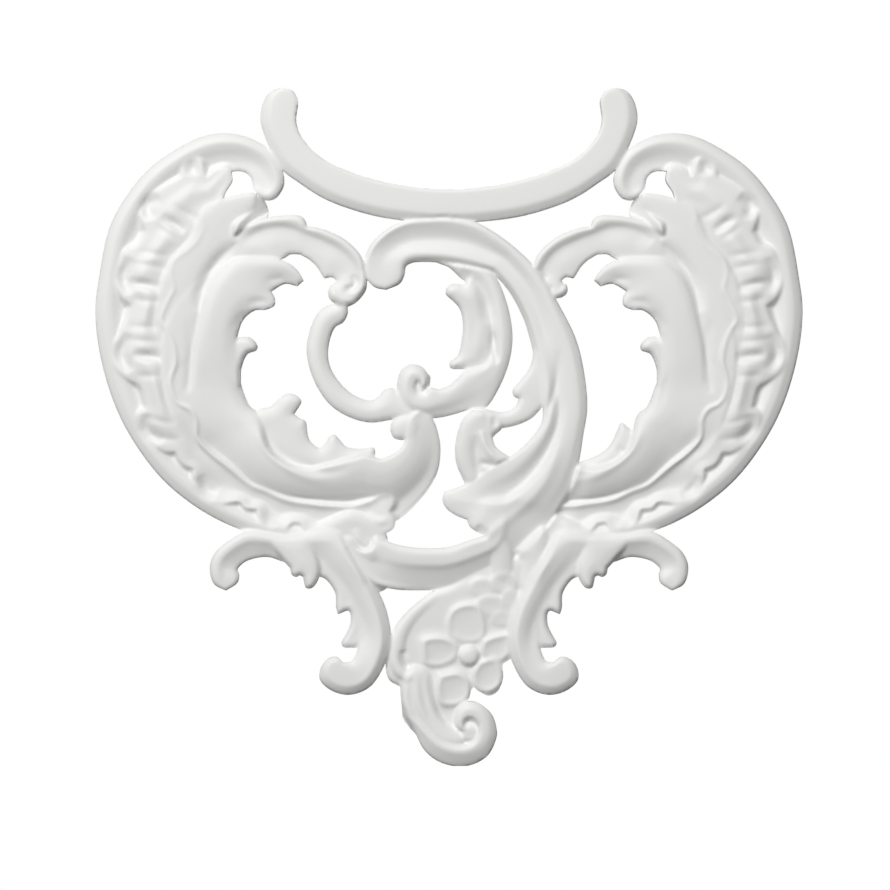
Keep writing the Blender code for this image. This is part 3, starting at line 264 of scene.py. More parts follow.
class Relief:
    """Heights over the drawing, and how far each spot lies inside the outline."""

    def __init__(self):
        self.x = np.arange(DRAWN_LEFT, DRAWN_RIGHT + 1, GRID_STEP)
        self.z = np.arange(DRAWN_BOTTOM, DRAWN_TOP + 1, GRID_STEP)
        shape = (len(self.z), len(self.x))
        self.top = np.full(shape, OUTSIDE)
        self.inside = np.full(shape, OUTSIDE)

    def around(self, outline, margin=OUTLINE_MARGIN):
        """The part of the grid round an outline: its rows, its columns and its points."""
        low = outline.min(0) - margin
        high = outline.max(0) + margin
        cols = slice(*np.searchsorted(self.x, [low[0], high[0]]))
        rows = slice(*np.searchsorted(self.z, [low[1], high[1]]))
        x, z = np.meshgrid(self.x[cols], self.z[rows])
        return (rows, cols), np.stack([x.ravel(), z.ravel()], 1), x.shape

    def join(self, spot, height, inside, merge=MERGE, over=False):
        """The higher of the old and the new surface, with a small fillet where they cross.

        A form that lies over the others hides what is under it.
        """
        old = self.top[spot]
        meet = np.maximum(merge - np.abs(old - height), 0) / merge
        joined = np.maximum(old, height) + meet ** 2 * merge / 4
        self.top[spot] = np.where(over & (inside > 0), height, joined)
        self.inside[spot] = np.maximum(self.inside[spot], inside)

    def band(self, first, second, stations, sections, edge=EDGE_RADIUS, fall=EDGE_FALL, soft=6, over=False):
        """A face between two rails that meet at both ends.

        Each section gives the heights at the stations from the first rail across to the second;
        it is keyed by its share of the length.
        """
        outline = np.concatenate([first, second[-2:0:-1]])
        spot, points, shape = self.around(outline)
        inside = depth_inside(points, outline)
        far_first, _, share_first = nearest(points, first)
        far_second, _, share_second = nearest(points, second)
        across = far_first / np.maximum(far_first + far_second, NARROWEST)
        length = share_first * (1 - across) + share_second * across
        weight = (inside > -BAND_MARGIN).astype(float).reshape(shape)
        length = softened(length.reshape(shape), weight, soft / GRID_STEP)
        across = softened(across.reshape(shape), weight, ACROSS_SMOOTHING / GRID_STEP)
        fine = np.linspace(0, 1, TABLE_CELLS + 1)
        table = np.stack([eased(fine, stations, row) for row in sections.values()])
        table = np.stack([eased(fine, list(sections), column) for column in table.T], 1)
        row = np.clip(length, 0, 1) * TABLE_CELLS
        column = np.clip(across, 0, 1) * TABLE_CELLS
        i = np.minimum(row.astype(int), TABLE_CELLS - 1)
        j = np.minimum(column.astype(int), TABLE_CELLS - 1)
        u = row - i
        v = column - j
        lower = table[i, j] * (1 - v) + table[i, j + 1] * v
        upper = table[i + 1, j] * (1 - v) + table[i + 1, j + 1] * v
        height = lower * (1 - u) + upper * u
        inside = inside.reshape(shape)
        self.join(spot, height - rounded_edge(inside, edge, fall), inside, over=over)

    def lobe(self, outline, profile, tilt=(0, 0), edge=EDGE_RADIUS, fall=EDGE_FALL, merge=MERGE):
        """A face of any outline; the profile is {distance from the edge: height}."""
        spot, points, shape = self.around(outline)
        inside = depth_inside(points, outline)
        face = eased(inside, list(profile), list(profile.values()))
        face = face + (points - outline.mean(0)) @ np.asarray(tilt, float)
        face = (face - rounded_edge(inside, edge, fall)).reshape(shape)
        self.join(spot, face, inside.reshape(shape), merge)

    def bar(self, path, half, crest, foot):
        """A rounded bar along a path; its edges lie foot times its half width under the crest."""
        spot, points, shape = self.around(path, largest(half) + BAR_MARGIN)
        distance, _, share = nearest(points, path)
        width = along(half, share)
        bow = np.clip(distance / np.maximum(width, NARROWEST), 0, 1)
        face = along(crest, share) - foot * width * (1 - np.sqrt(1 - bow ** 2))
        inside = width - distance
        face = (face - rounded_edge(inside, EDGE_RADIUS, EDGE_FALL)).reshape(shape)
        self.join(spot, face, inside.reshape(shape))

    def stroke(self, line, width, height, right=None, ends=0.15):
        """A ridge, or with a negative height a groove, that fades out at both ends.

        Its section is a bell of this width; right gives another width on the right-hand side.
        """
        path = curve(line)
        widest = max(largest(width), largest(right or 0))
        spot, points, shape = self.around(path, STROKE_REACH * widest)
        distance, side, share = nearest(points, path)
        spread = along(width, share)
        if right is not None:
            spread = np.where(side > 0, spread, along(right, share))
        fade = np.clip(np.minimum(share, 1 - share) / ends, 0, 1) ** FADE_POWER
        bump = along(height, share) * fade * np.exp(-(distance / np.maximum(spread, NARROWEST)) ** 2)
        self.top[spot] += bump.reshape(shape)

    def strokes(self, lines, width, height):
        """Several alike folds, each a smooth line that fades out over a good part of its length."""
        for line in lines:
            self.stroke(line, width, height, ends=FOLD_ENDS)


def rim(relief):
    """The outer C: a rolled lip on its outer side and a cove within, hooked over at the top."""
    outer = curve(
        [(-196, 214), (-186, 203), (-175, 203.5), (-167.5, 212), (-165, 220), (-166, 229), (-174, 247),
         (-189, 259), (-209, 267), (-229, 268.7), (-249, 264.5), (-274, 252), (-299, 234), (-319, 211),
         (-339, 176), (-350.5, 122), (-353.8, 92), (-350, 52), (-337, 4), (-319, -34), (-289, -75),
         (-259, -101), (-229, -119), (-202, -130), (-174, -138), (-140, -142), (-110, -140)])
    inner = curve(
        [(-196, 214), (-198, 224), (-203, 229.5), (-209, 231.5), (-218, 231), (-244, 224), (-274, 204),
         (-297, 172), (-309, 132), (-311, 92), (-306, 52), (-292, 2), (-271, -38), (-241, -68),
         (-207, -93), (-174, -110), (-140, -118), (-110, -140)])
    relief.band(
        outer, inner, (0, 0.12, 0.24, 0.36, 0.6, 0.85, 1),
        {0: (15, 17, 17, 16, 15, 15, 15), 0.06: (14.5, 18, 19, 17.5, 14, 12.5, 13),
         0.2: (13, 16.8, 18.4, 17.6, 13.5, 9.5, 8.5), 0.35: (12, 15.2, 17, 16.6, 12, 8.5, 7),
         0.6: (10, 12.5, 14.5, 14.5, 10.5, 6.5, 5.5), 0.85: (8, 10.2, 12.4, 13, 8.5, 5.5, 5),
         1: (8, 9, 11, 11, 10, 9, 8)}, edge=2.4)


half = Relief()
rim(half)


# The bow across the top: a plain band with a wide bevel along its lower edge and pointed ends
# that run up beside the hooked Cs.

def crescent(relief):
    """The plain bow across the top, flat with a wide bevel along its lower edge."""
    upper = curve(
        [(-166, 314), (-157, 311.5), (-151.5, 303), (-153, 282), (-148.5, 267), (-129, 245), (-99, 230),
         (-59, 218.5), (-19, 213), (8, 212)])
    lower = curve(
        [(-166, 314), (-177, 311), (-184.5, 302), (-188.5, 284), (-185, 268), (-168, 234), (-149, 219),
         (-129, 206), (-109, 197), (-69, 185.5), (-19, 180), (8, 179.6)],
        [(8, 195), (8, 212)])
    relief.band(
        upper, lower, (0, 0.08, 0.72, 0.78, 1),
        {0: (19, 21.5, 21, 20, 17), 0.12: (20, 21, 21.3, 20.6, 16), 1: (20.5, 21.4, 21.4, 20.8, 16)},
        edge=1.6)


crescent(half)


# The broad faces of the Cs inside the frill: a trough that sweeps down to the scrolled ends, and
# the long leaf that comes out under the frill with its tip folded over.

def inner_face(relief):
    """The broad trough of the C between the frill and the open middle, down to its scrolled end."""
    outer = curve(
        [(-217, 141), (-240, 130), (-267, 105), (-285, 70), (-287, 30), (-276, -15), (-250, -60),
         (-200, -100), (-140, -112), (-85, -114), (-60, -116), (-53, -119)],
        [(-44, -113), (-29, -98), (-19, -85), (-11, -68), (-8.5, -48), (-10, -35), (-17, -16), (-30, -8)])
    inner = curve(
        [(-217, 141), (-209, 144), (-200, 120), (-204, 92), (-212, 65), (-211, 30), (-200, -3),
         (-189, -13), (-180, -46), (-165, -60), (-145, -66), (-120, -62), (-100, -56), (-82, -52),
         (-69, -56.5), (-59, -53.5), (-51, -48.5), (-46, -43.5), (-43, -32), (-40, -15), (-30, -8)])
    relief.band(
        outer, inner, (0, 0.2, 0.4, 0.6, 0.8, 0.94, 1),
        {0: (18, 18, 17.5, 16.5, 15, 14, 13), 0.12: (19, 19, 18, 16, 14, 13, 12),
         0.22: (20.5, 19.5, 18, 17, 16, 15, 14), 0.32: (19.5, 18.5, 18, 17.5, 16.5, 13, 9),
         0.36: (15, 16, 17, 17, 16.5, 13, 8), 0.42: (8, 8.5, 13, 16, 17.5, 14.5, 8),
         0.5: (3, 3.5, 10, 16, 19.5, 20, 14), 0.63: (3, 3.5, 10.5, 16, 19, 20, 15),
         0.76: (3, 3.5, 10.5, 16.5, 19.5, 20, 15), 0.86: (4, 6, 12, 16.5, 18.5, 18.5, 16),
         0.94: (10, 12, 14, 16, 17.5, 17.5, 16), 1: (16, 16, 16.5, 17, 17, 16, 15)}, soft=12)
    relief.stroke([(-261, 82), (-259, 60), (-259, 36), (-262, 8)], 3.4, -1.8)
    relief.stroke([(-196, -24), (-184, -46), (-166, -63), (-144, -75), (-120, -80)], 4, 2, ends=0.4)


def leaf_behind_frill(relief):
    """The long leaf that comes out under the frill, with its tip folded over to the right."""
    shape = ring(
        [(-227, 203), (-209, 207.5), (-193, 208), (-193, 197)],
        [(-199, 190), (-206, 182), (-213, 176), (-214, 170), (-210, 161)],
        [(-227, 147), (-240, 130), (-247, 113), (-252, 92), (-257, 62), (-260, 42)],
        [(-280, 30), (-294, 60), (-290, 115), (-275, 145), (-258, 165), (-248, 188), (-227, 203)])
    relief.lobe(shape, {0: 18.5, 6: 19.5, 20: 20}, tilt=(-0.06, 0.03), edge=2.2, fall=0.7, merge=4)
    fold = ring(
        [(-195, 207), (-186, 203), (-182, 196), (-181, 190), (-183, 180)],
        [(-198, 176), (-214, 168)],
        [(-213, 177), (-205, 185), (-197, 193), (-195, 207)])
    relief.lobe(fold, {0: 15.5, 6: 16.5}, tilt=(-0.75, 0.2), edge=1.5)
    cove = ring(
        [(-262, 60), (-258, 110), (-242, 148), (-216, 176), (-196, 178), (-198, 140), (-222, 122),
         (-236, 70), (-262, 60)])
    relief.lobe(cove, {0: 14, 8: 16.5}, tilt=(-0.1, 0.05), edge=1)
    relief.stroke([(-214, 158), (-226, 147), (-238, 131), (-247, 112), (-251, 90)], 6, -4.5, ends=0.3)


inner_face(half)
leaf_behind_frill(half)


# The big leaf on the C's inner side, whose tips stand into the opening. It is cast with the rest
# and its tips curl under.

def leaf_in_middle(relief):
    """The big leaf whose tips stand into the open middle, running on down the C's inner side."""
    crest = curve(
        [(-145.5, 122), (-151, 131), (-159, 138), (-172, 143), (-192, 144.5), (-211, 144), (-222, 138),
         (-233, 126), (-243, 107), (-250, 80), (-255, 50), (-256, 20), (-250, -12), (-238, -34)])
    tips = curve(
        [(-145.5, 122), (-152, 116)],
        [(-164, 118.5), (-178, 111)],
        [(-174.5, 104), (-175, 97), (-184, 92.5), (-194, 92), (-204, 85), (-211, 72), (-212, 50),
         (-210, 20), (-214, -8), (-225, -26), (-238, -34)])
    relief.band(
        crest, tips, (0, 0.1, 0.25, 0.6, 0.88, 1),
        {0: (13, 14, 14, 14, 13, 13), 0.12: (16, 19, 20, 18, 16, 15),
         0.28: (17.5, 21.5, 22.5, 21.5, 18.5, 16.5), 0.45: (18, 22, 23.5, 22.5, 18.5, 15.5),
         0.62: (18, 21, 21.5, 20, 17, 14), 0.74: (17, 19, 18.5, 17, 15, 13),
         0.86: (13, 14, 13.5, 12.5, 11, 10), 1: (7, 7, 7, 7, 7, 7)}, edge=2.6, fall=2, soft=10)
    small = ring(
        [(-214, 64), (-204, 65.5), (-198, 64), (-192, 57), (-193, 52), (-202, 48), (-208, 34), (-210, 15),
         (-222, 25), (-222, 50), (-214, 64)])
    relief.lobe(small, {0: 13, 5: 16})
    folds = [[(-160, 119), (-170, 123), (-184, 121)], [(-177, 98), (-188, 101), (-202, 98)],
             [(-196, 90), (-206, 86), (-216, 72)]]
    relief.strokes(folds, 3.6, -1.6)


leaf_in_middle(half)


# The frill inside each rim, like a scalloped shell: thin at its outer lip, swelling towards a
# ridge along its inner edge, with one deep valley a scallop and shallow folds beside it.

def ruffle(relief):
    """The shell-like frill inside the rim, scalloped outside and ridged along its inner edge."""
    outer = curve(
        [(-218, 231.5), (-222, 235.5), (-233, 233), (-242, 226)],
        [(-244, 234), (-246, 242), (-254, 246), (-264, 243), (-268, 235), (-269, 226)],
        [(-277, 222), (-286, 217), (-297, 210), (-304, 199), (-310, 189), (-308, 180), (-304, 170)],
        [(-312, 158), (-324, 153), (-330, 140), (-334, 127), (-332, 112), (-327, 103), (-318, 96)],
        [(-322, 84), (-330, 68), (-336, 57), (-334, 34), (-322, 22), (-310, 15), (-304, -5)],
        [(-312, -12), (-309, -28), (-299, -41), (-284, -51), (-274, -51)],
        [(-267, -63), (-256, -68)],
        [(-256, -76), (-248, -93), (-237, -101), (-227, -104)],
        [(-209, -101), (-204, -107), (-192, -108)],
        [(-190, -119), (-181, -132), (-169, -136), (-161, -128), (-157, -121)],
        [(-149, -122), (-145, -128), (-134, -138), (-124, -138), (-113, -129)],
        [(-104, -120), (-96, -117)],
        [(-89, -123), (-79, -129), (-67, -132), (-56, -127), (-54, -119), (-59, -110)])
    inner = curve(
        [(-218, 231.5), (-217, 222), (-224, 210), (-228, 199), (-241, 193), (-245, 186), (-241, 176),
         (-249, 159), (-259, 149), (-273, 140), (-275, 127), (-272, 113), (-279, 100), (-286, 82),
         (-281, 75), (-273, 59), (-271, 40), (-277, 19), (-271, 1), (-257, -6), (-251, -18), (-251, -35),
         (-239, -50), (-219, -64), (-199, -82), (-184, -88), (-159, -98), (-134, -101.5), (-99, -104),
         (-79, -98), (-66, -92), (-57, -94), (-54, -100), (-59, -110)])
    relief.band(
        outer, inner, (0, 0.08, 0.25, 0.48, 0.76, 0.86, 0.94, 1),
        {0: (16, 18, 17.5, 18, 18, 18.5, 19, 17.5), 0.12: (16, 17.5, 18, 20.5, 18.5, 18.5, 20.5, 18),
         0.3: (16.5, 18, 19, 22.5, 19, 18, 22, 19), 0.45: (15.5, 17.5, 19, 22, 18, 17.5, 22, 19.5),
         0.56: (13, 16, 16.5, 17.5, 13.5, 13, 18.5, 15), 0.68: (11, 13, 10, 5.5, 7, 9, 12.5, 8),
         0.85: (10.5, 12, 9, 5, 6.5, 8.5, 11.5, 7), 1: (8, 10, 10.5, 10.5, 10, 10, 11, 9)}, edge=1.8,
        fall=1.2, soft=7)


def ruffle_folds(relief):
    """One deep valley a scallop, shallow folds beside it, and the hollows of its ends."""
    relief.strokes(
        [[(-287, 186), (-278, 180), (-264, 170)], [(-320, 120), (-306, 118), (-288, 114)],
         [(-317, 48), (-303, 46), (-286, 44)]], 4.6, -4.8)
    relief.strokes(
        [[(-293, 177), (-282, 169), (-270, 162)], [(-277, 198), (-263, 189), (-249, 182)],
         [(-312, 151), (-295, 148), (-278, 146)], [(-317, 138), (-297, 136), (-280, 132)],
         [(-317, 104), (-303, 101), (-287, 100)], [(-322, 76), (-305, 75), (-289, 75)],
         [(-322, 63), (-305, 61), (-287, 60)], [(-313, 27), (-300, 26), (-287, 26)],
         [(-304, -14), (-289, -19), (-273, -23)], [(-299, -32), (-287, -36), (-268, -38)]], 3.4, -1.5)
    relief.strokes([[(-257, 226), (-256, 236), (-250, 238)]], 6, -3.5)
    relief.strokes(
        [[(-290, 206), (-301, 196), (-298, 182)], [(-318, 144), (-325, 126), (-318, 108)],
         [(-320, 68), (-328, 48), (-318, 30)], [(-302, -12), (-303, -26), (-288, -42)],
         [(-250, -74), (-243, -88), (-232, -94)]], 6, -5.5)
    relief.strokes(
        [[(-180, -119), (-171, -124), (-163, -120)], [(-140, -124), (-131, -129), (-120, -126)],
         [(-84, -112), (-70, -120), (-58, -117)]], 4, 2.4)
    relief.strokes([[(-192, -79), (-176, -88), (-160, -94), (-134, -98), (-105, -100), (-78, -95)]], 2, -1.6)


ruffle(half)
ruffle_folds(half)


# The leaves that arch over the openings and roll in to a curl, and the small scrolls at the foot
# of the Cs. All of these are alike on both sides, so they are drawn once and mirrored.

def leaf_over_top(relief):
    """The leaf that arches over the open middle and rolls in to a curl at its end."""
    upper = curve(
        [(-214, 160), (-206, 174), (-193, 181), (-182, 184), (-169, 186), (-149, 186), (-144, 182),
         (-142, 175.5)],
        [(-129, 173.5), (-109, 165.5), (-99, 158.5), (-91, 150.5), (-86, 142), (-83, 130), (-83, 117),
         (-88, 108), (-95, 104), (-104, 104)])
    lower = curve(
        [(-214, 160), (-216, 148), (-206, 140), (-180, 141), (-166, 144), (-159, 148), (-149, 148)],
        [(-139, 142), (-132, 135), (-127, 127), (-125, 124)],
        [(-117, 125), (-113, 121), (-118, 115), (-118, 109), (-113, 105), (-104, 104)])
    relief.band(
        upper, lower, (0, 0.12, 0.3, 1),
        {0: (15, 16, 16, 15), 0.15: (18, 20.5, 19.5, 15.5), 0.8: (18, 20.5, 19.5, 14.5),
         1: (16, 18, 18, 16)}, soft=9)
    relief.stroke(
        [(-204, 160), (-194, 168), (-182, 173), (-164, 174), (-146, 168), (-128, 161), (-110, 152),
         (-99, 141), (-93, 128), (-95, 116)], 4.6, -3.6, right=12, ends=0.1)
    relief.stroke([(-97, 127), (-93, 120), (-97, 114), (-105, 113)], 3, -4, ends=0.3)


def foot_scroll(relief):
    """The small scroll below the C: a branch to the side and a stem down to a curl."""
    web = ring(
        [(-120, -118), (-98, -110), (-66, -126), (-60, -150), (-62, -186), (-85, -190), (-105, -165),
         (-140, -150), (-140, -130), (-120, -118)])
    relief.lobe(web, {0: 9, 8: 11}, tilt=(-0.02, 0.08))
    outer = curve(
        [(-223, -188.7), (-235, -182), (-239.3, -165), (-234, -151), (-219, -138), (-202, -129.5),
         (-174, -133), (-150, -134), (-130, -128), (-112, -128), (-95, -150), (-75, -182), (-65, -202),
         (-59.5, -222), (-58, -240), (-64, -262), (-79, -285), (-99, -293), (-117, -289), (-129, -278),
         (-128, -265), (-120, -256.5), (-112, -255.5), (-105, -261)])
    inner = curve(
        [(-223, -188.7), (-212, -181), (-210.5, -172), (-212, -168), (-204, -160), (-189, -155.5),
         (-179, -155.5), (-164, -160), (-150, -158), (-136, -162)],
        [(-124, -172), (-110, -188), (-98, -210), (-90, -230), (-91.6, -247), (-97.6, -259.5),
         (-105, -261)])
    relief.band(
        outer, inner, (0, 0.14, 0.3, 0.5, 0.8, 1),
        {0: (13, 15, 16, 16, 16, 14), 0.06: (14, 17, 17.5, 16, 15, 13),
         0.12: (14, 17.3, 17.6, 15, 12, 10.5), 0.3: (14, 17.3, 17.5, 15, 11.5, 9.5),
         0.45: (12, 15, 17.5, 16, 12, 11), 0.6: (9.5, 13.5, 17.5, 16, 11, 9),
         0.75: (10, 13.5, 17.5, 16, 11, 9), 0.9: (11, 14, 16.5, 16.5, 14, 12),
         1: (13, 16, 17, 17, 15, 14)}, soft=5)
    lobe = ring(
        [(-159, -166), (-157, -173), (-153, -175), (-149, -173.5), (-146, -175)],
        [(-145, -180), (-143, -186), (-137, -186), (-131, -178), (-129, -166), (-133, -150), (-140, -134),
         (-160, -134), (-180, -140), (-168, -156), (-159, -166)])
    relief.lobe(lobe, {0: 14.5, 4: 17.5, 12: 19}, fall=2)
    leaf = ring(
        [(-134, -174), (-124, -177), (-114, -191), (-113, -206), (-111, -212.5)],
        [(-101, -209), (-99, -211), (-99, -223), (-108, -241)],
        [(-106, -245), (-91, -246)],
        [(-80, -230), (-92, -185), (-110, -160), (-134, -160), (-134, -174)])
    relief.lobe(leaf, {0: 9, 5: 11, 14: 10})
    relief.stroke([(-112, -128), (-104, -146), (-94, -164), (-84, -182)], 4.5, 2.4, ends=0.3)


leaf_over_top(half)
foot_scroll(half)
relief = Relief()
left_side = relief.x <= 0
relief.top = np.where(left_side, half.top, half.top[:, ::-1])
relief.inside = np.where(left_side, half.inside, half.inside[:, ::-1])


# The ends of the leaves and of the Cs round the middle. They differ a little on the two sides, so
# each side has its own outlines.

def curls(relief):
    """The rolled ends of the two arching leaves; the left one hangs lower."""
    left = ring(
        [(-121, 110), (-118, 117), (-110, 113), (-98, 107), (-91, 109), (-86, 117), (-82, 126)],
        [(-83, 113), (-88, 105), (-96, 98), (-106, 95), (-114, 98.5), (-120, 104), (-121, 110)])
    relief.lobe(left, {0: 15, 5: 19, 9: 20}, edge=1.8)
    right = ring(
        [(119, 112), (117, 118), (110, 114), (98, 109), (91, 111), (86, 118), (83, 126)],
        [(83, 113), (88, 105), (98, 102), (108, 104), (115, 107), (119, 112)])
    relief.lobe(right, {0: 15, 5: 19, 9: 20}, edge=1.8)


def scroll_knobs(relief):
    """The small knobs that end the two Cs; the right-hand C is a little fuller here."""
    left = ring(
        [(-59, -28), (-57, -20), (-49, -14), (-40, -12), (-30, -20), (-34, -34), (-45, -38), (-55, -36),
         (-59, -28)])
    relief.lobe(left, {0: 14, 4: 16.5, 9: 17.5}, merge=4)
    right = ring(
        [(36, -8), (46, -11), (53, -18), (53, -26), (46, -33), (41, -38), (35, -36), (30, -22), (36, -8)])
    relief.lobe(right, {0: 14, 4: 17, 9: 18})
    side = ring(
        [(23, -8), (14, -17), (10, -26), (7, -38), (6, -48), (7, -60), (11, -71), (21, -88), (40, -92),
         (46, -70), (40, -48), (38, -26), (36, -10), (23, -8)])
    relief.lobe(side, {0: 12, 5: 15.5, 10: 16.5}, tilt=(0, 0.09), merge=5)
    relief.stroke([(32, -28), (35, -40), (41, -51), (52, -61)], 3, 3, ends=0.3)
    relief.stroke([(27, -34), (27, -48), (29, -64), (34, -78)], 4.5, -3.2, ends=0.3)
    relief.stroke([(30, -60), (38, -62), (47, -65)], 3, -3, ends=0.3)
    relief.stroke([(44, -14), (46, -20), (43, -25)], 3, -3, ends=0.4)


def leaf_below(relief):
    """The lower leaf with its tips up, behind the crest of the trough."""
    shape = ring(
        [(-195, -12), (-186, -6), (-179, -5), (-167, 6), (-159, 8.5), (-152, 6), (-148, 1), (-155, -12)],
        [(-150, -16), (-144, -19), (-142, -30), (-139, -39), (-129, -46), (-123, -40)],
        [(-119, -34), (-114, -33), (-110, -37), (-102, -45), (-89, -47), (-75, -46), (-74, -51),
         (-75, -56)],
        [(-84, -66), (-104, -72), (-128, -74), (-150, -70), (-170, -60), (-185, -46), (-193, -30),
         (-195, -12)])
    relief.lobe(shape, {0: 11.5, 5: 13.5, 12: 14.5, 24: 14.5}, tilt=(0.02, 0.02), edge=2.4, fall=1.6)
    relief.strokes([[(-184, -22), (-178, -40), (-164, -54), (-146, -64), (-122, -70), (-98, -66)]], 5, -3)


def leaf_below_right(relief):
    """The same leaf on the right-hand side, cut slimmer and with one tip only."""
    shape = ring(
        [(131, -60), (141, -57), (156, -49), (163, -41), (169, -28), (173, -21), (179, -25), (183, -28),
         (191, -18), (201, 0), (209, 20), (214, 25), (214, 0), (205, -25), (190, -45), (170, -60),
         (150, -72), (125, -80), (118, -70), (131, -60)])
    relief.lobe(shape, {0: 12, 5: 14, 9: 14.5}, fall=1.2, merge=5)
    relief.strokes([[(168, -44), (175, -50), (178, -46)]], 2.4, -1.8)


curls(relief)
scroll_knobs(relief)
leaf_below(relief)
leaf_below_right(relief)


# The middle: an open circle, a crescent moon with its loop, and the great scroll that turns over
# them and sweeps down to the foot, all flat-topped or softly crested.

def open_circle(relief):
    """The thin round scroll on the left of the middle, flat-topped with rounded edges."""
    outer = curve(
        [(-102, 98), (-118, 97.5), (-129.5, 91), (-137, 78), (-141, 64), (-142.5, 52), (-139, 32),
         (-129, 10), (-117, -4.5), (-99, -15.5), (-79, -20.5), (-59, -18), (-45, -16), (-35, -14)])
    inner = curve(
        [(-102, 98), (-101.5, 89), (-106, 80), (-114, 75), (-120, 60), (-121, 44), (-116, 29), (-102, 12),
         (-89, 4), (-77, 1.5), (-70, 6), (-64, 12.5), (-56, 13.5), (-50, 9), (-42, 0), (-35, -14)])
    relief.band(
        outer, inner, (0, 0.25, 0.5, 0.8, 1),
        {0: (12, 15, 16, 15, 12), 0.5: (12, 15.5, 16, 14, 12), 1: (11, 14.5, 15, 14, 12)})


def moon(relief):
    """The crescent on the right of the middle, which runs on below into a loop and its eye."""
    outer = curve(
        [(-30, 148), (0, 149), (26, 144), (44, 129.5), (57, 102), (63.5, 68), (60.5, 41), (49, 12),
         (36, -6), (23, -7), (6, -12), (-9, -15.5), (-24, -16), (-39, -12), (-49, -1), (-52, 17),
         (-48, 31), (-38, 37.8), (-27, 35), (-21, 27), (-22, 18), (-26, 13)])
    inner = curve(
        [(-30, 148), (-10, 139), (0, 135), (11, 125), (30, 110), (42, 85), (44, 60), (38, 38), (15, 30),
         (5, 20), (-9, 13), (-19, 14), (-24, 8), (-32, 9), (-34, 16), (-31, 21), (-26, 13)])
    relief.band(
        outer, inner, (0, 0.2, 0.5, 0.8, 1),
        {0: (10, 16, 16, 14, 10), 0.3: (11, 14.5, 16.5, 14, 11), 0.5: (11, 14, 16, 16, 13),
         0.65: (10, 12, 15.5, 17, 15), 0.8: (11, 14, 17, 16.5, 13), 1: (12, 16, 18, 16.5, 14)}, soft=5)
    eye = ring([(-37, 24), (-26, 30), (-19, 26), (-19, 16), (-16, 12), (-26, 6), (-36, 8), (-37, 24)])
    relief.lobe(eye, {0: 10.5, 5: 12}, fall=1)
    leaf = ring(
        [(-3, 113), (1, 117), (6, 118.5), (15, 117)],
        [(25, 130), (38, 115), (43, 90), (45, 60), (44, 30), (30, 8), (10, 10)],
        [(5, 19.5), (13, 27), (15, 33)],
        [(2, 34), (0.5, 39), (9, 47), (12, 58), (14, 78), (11, 93), (4.5, 101), (-3, 108), (-3, 113)])
    relief.lobe(leaf, {0: 11.5, 5: 14, 14: 15.5, 22: 16}, tilt=(-0.04, 0.03), merge=5)
    relief.stroke([(44, 70), (46, 54), (47, 38)], 3, -4.5, ends=0.3)
    relief.stroke([(12, 131), (28, 121), (37, 103), (40, 78)], 7, -4.5, ends=0.3)
    relief.strokes([[(20, 100), (26, 78), (24, 56)], [(16, 30), (30, 40), (38, 56)]], 5, -1)


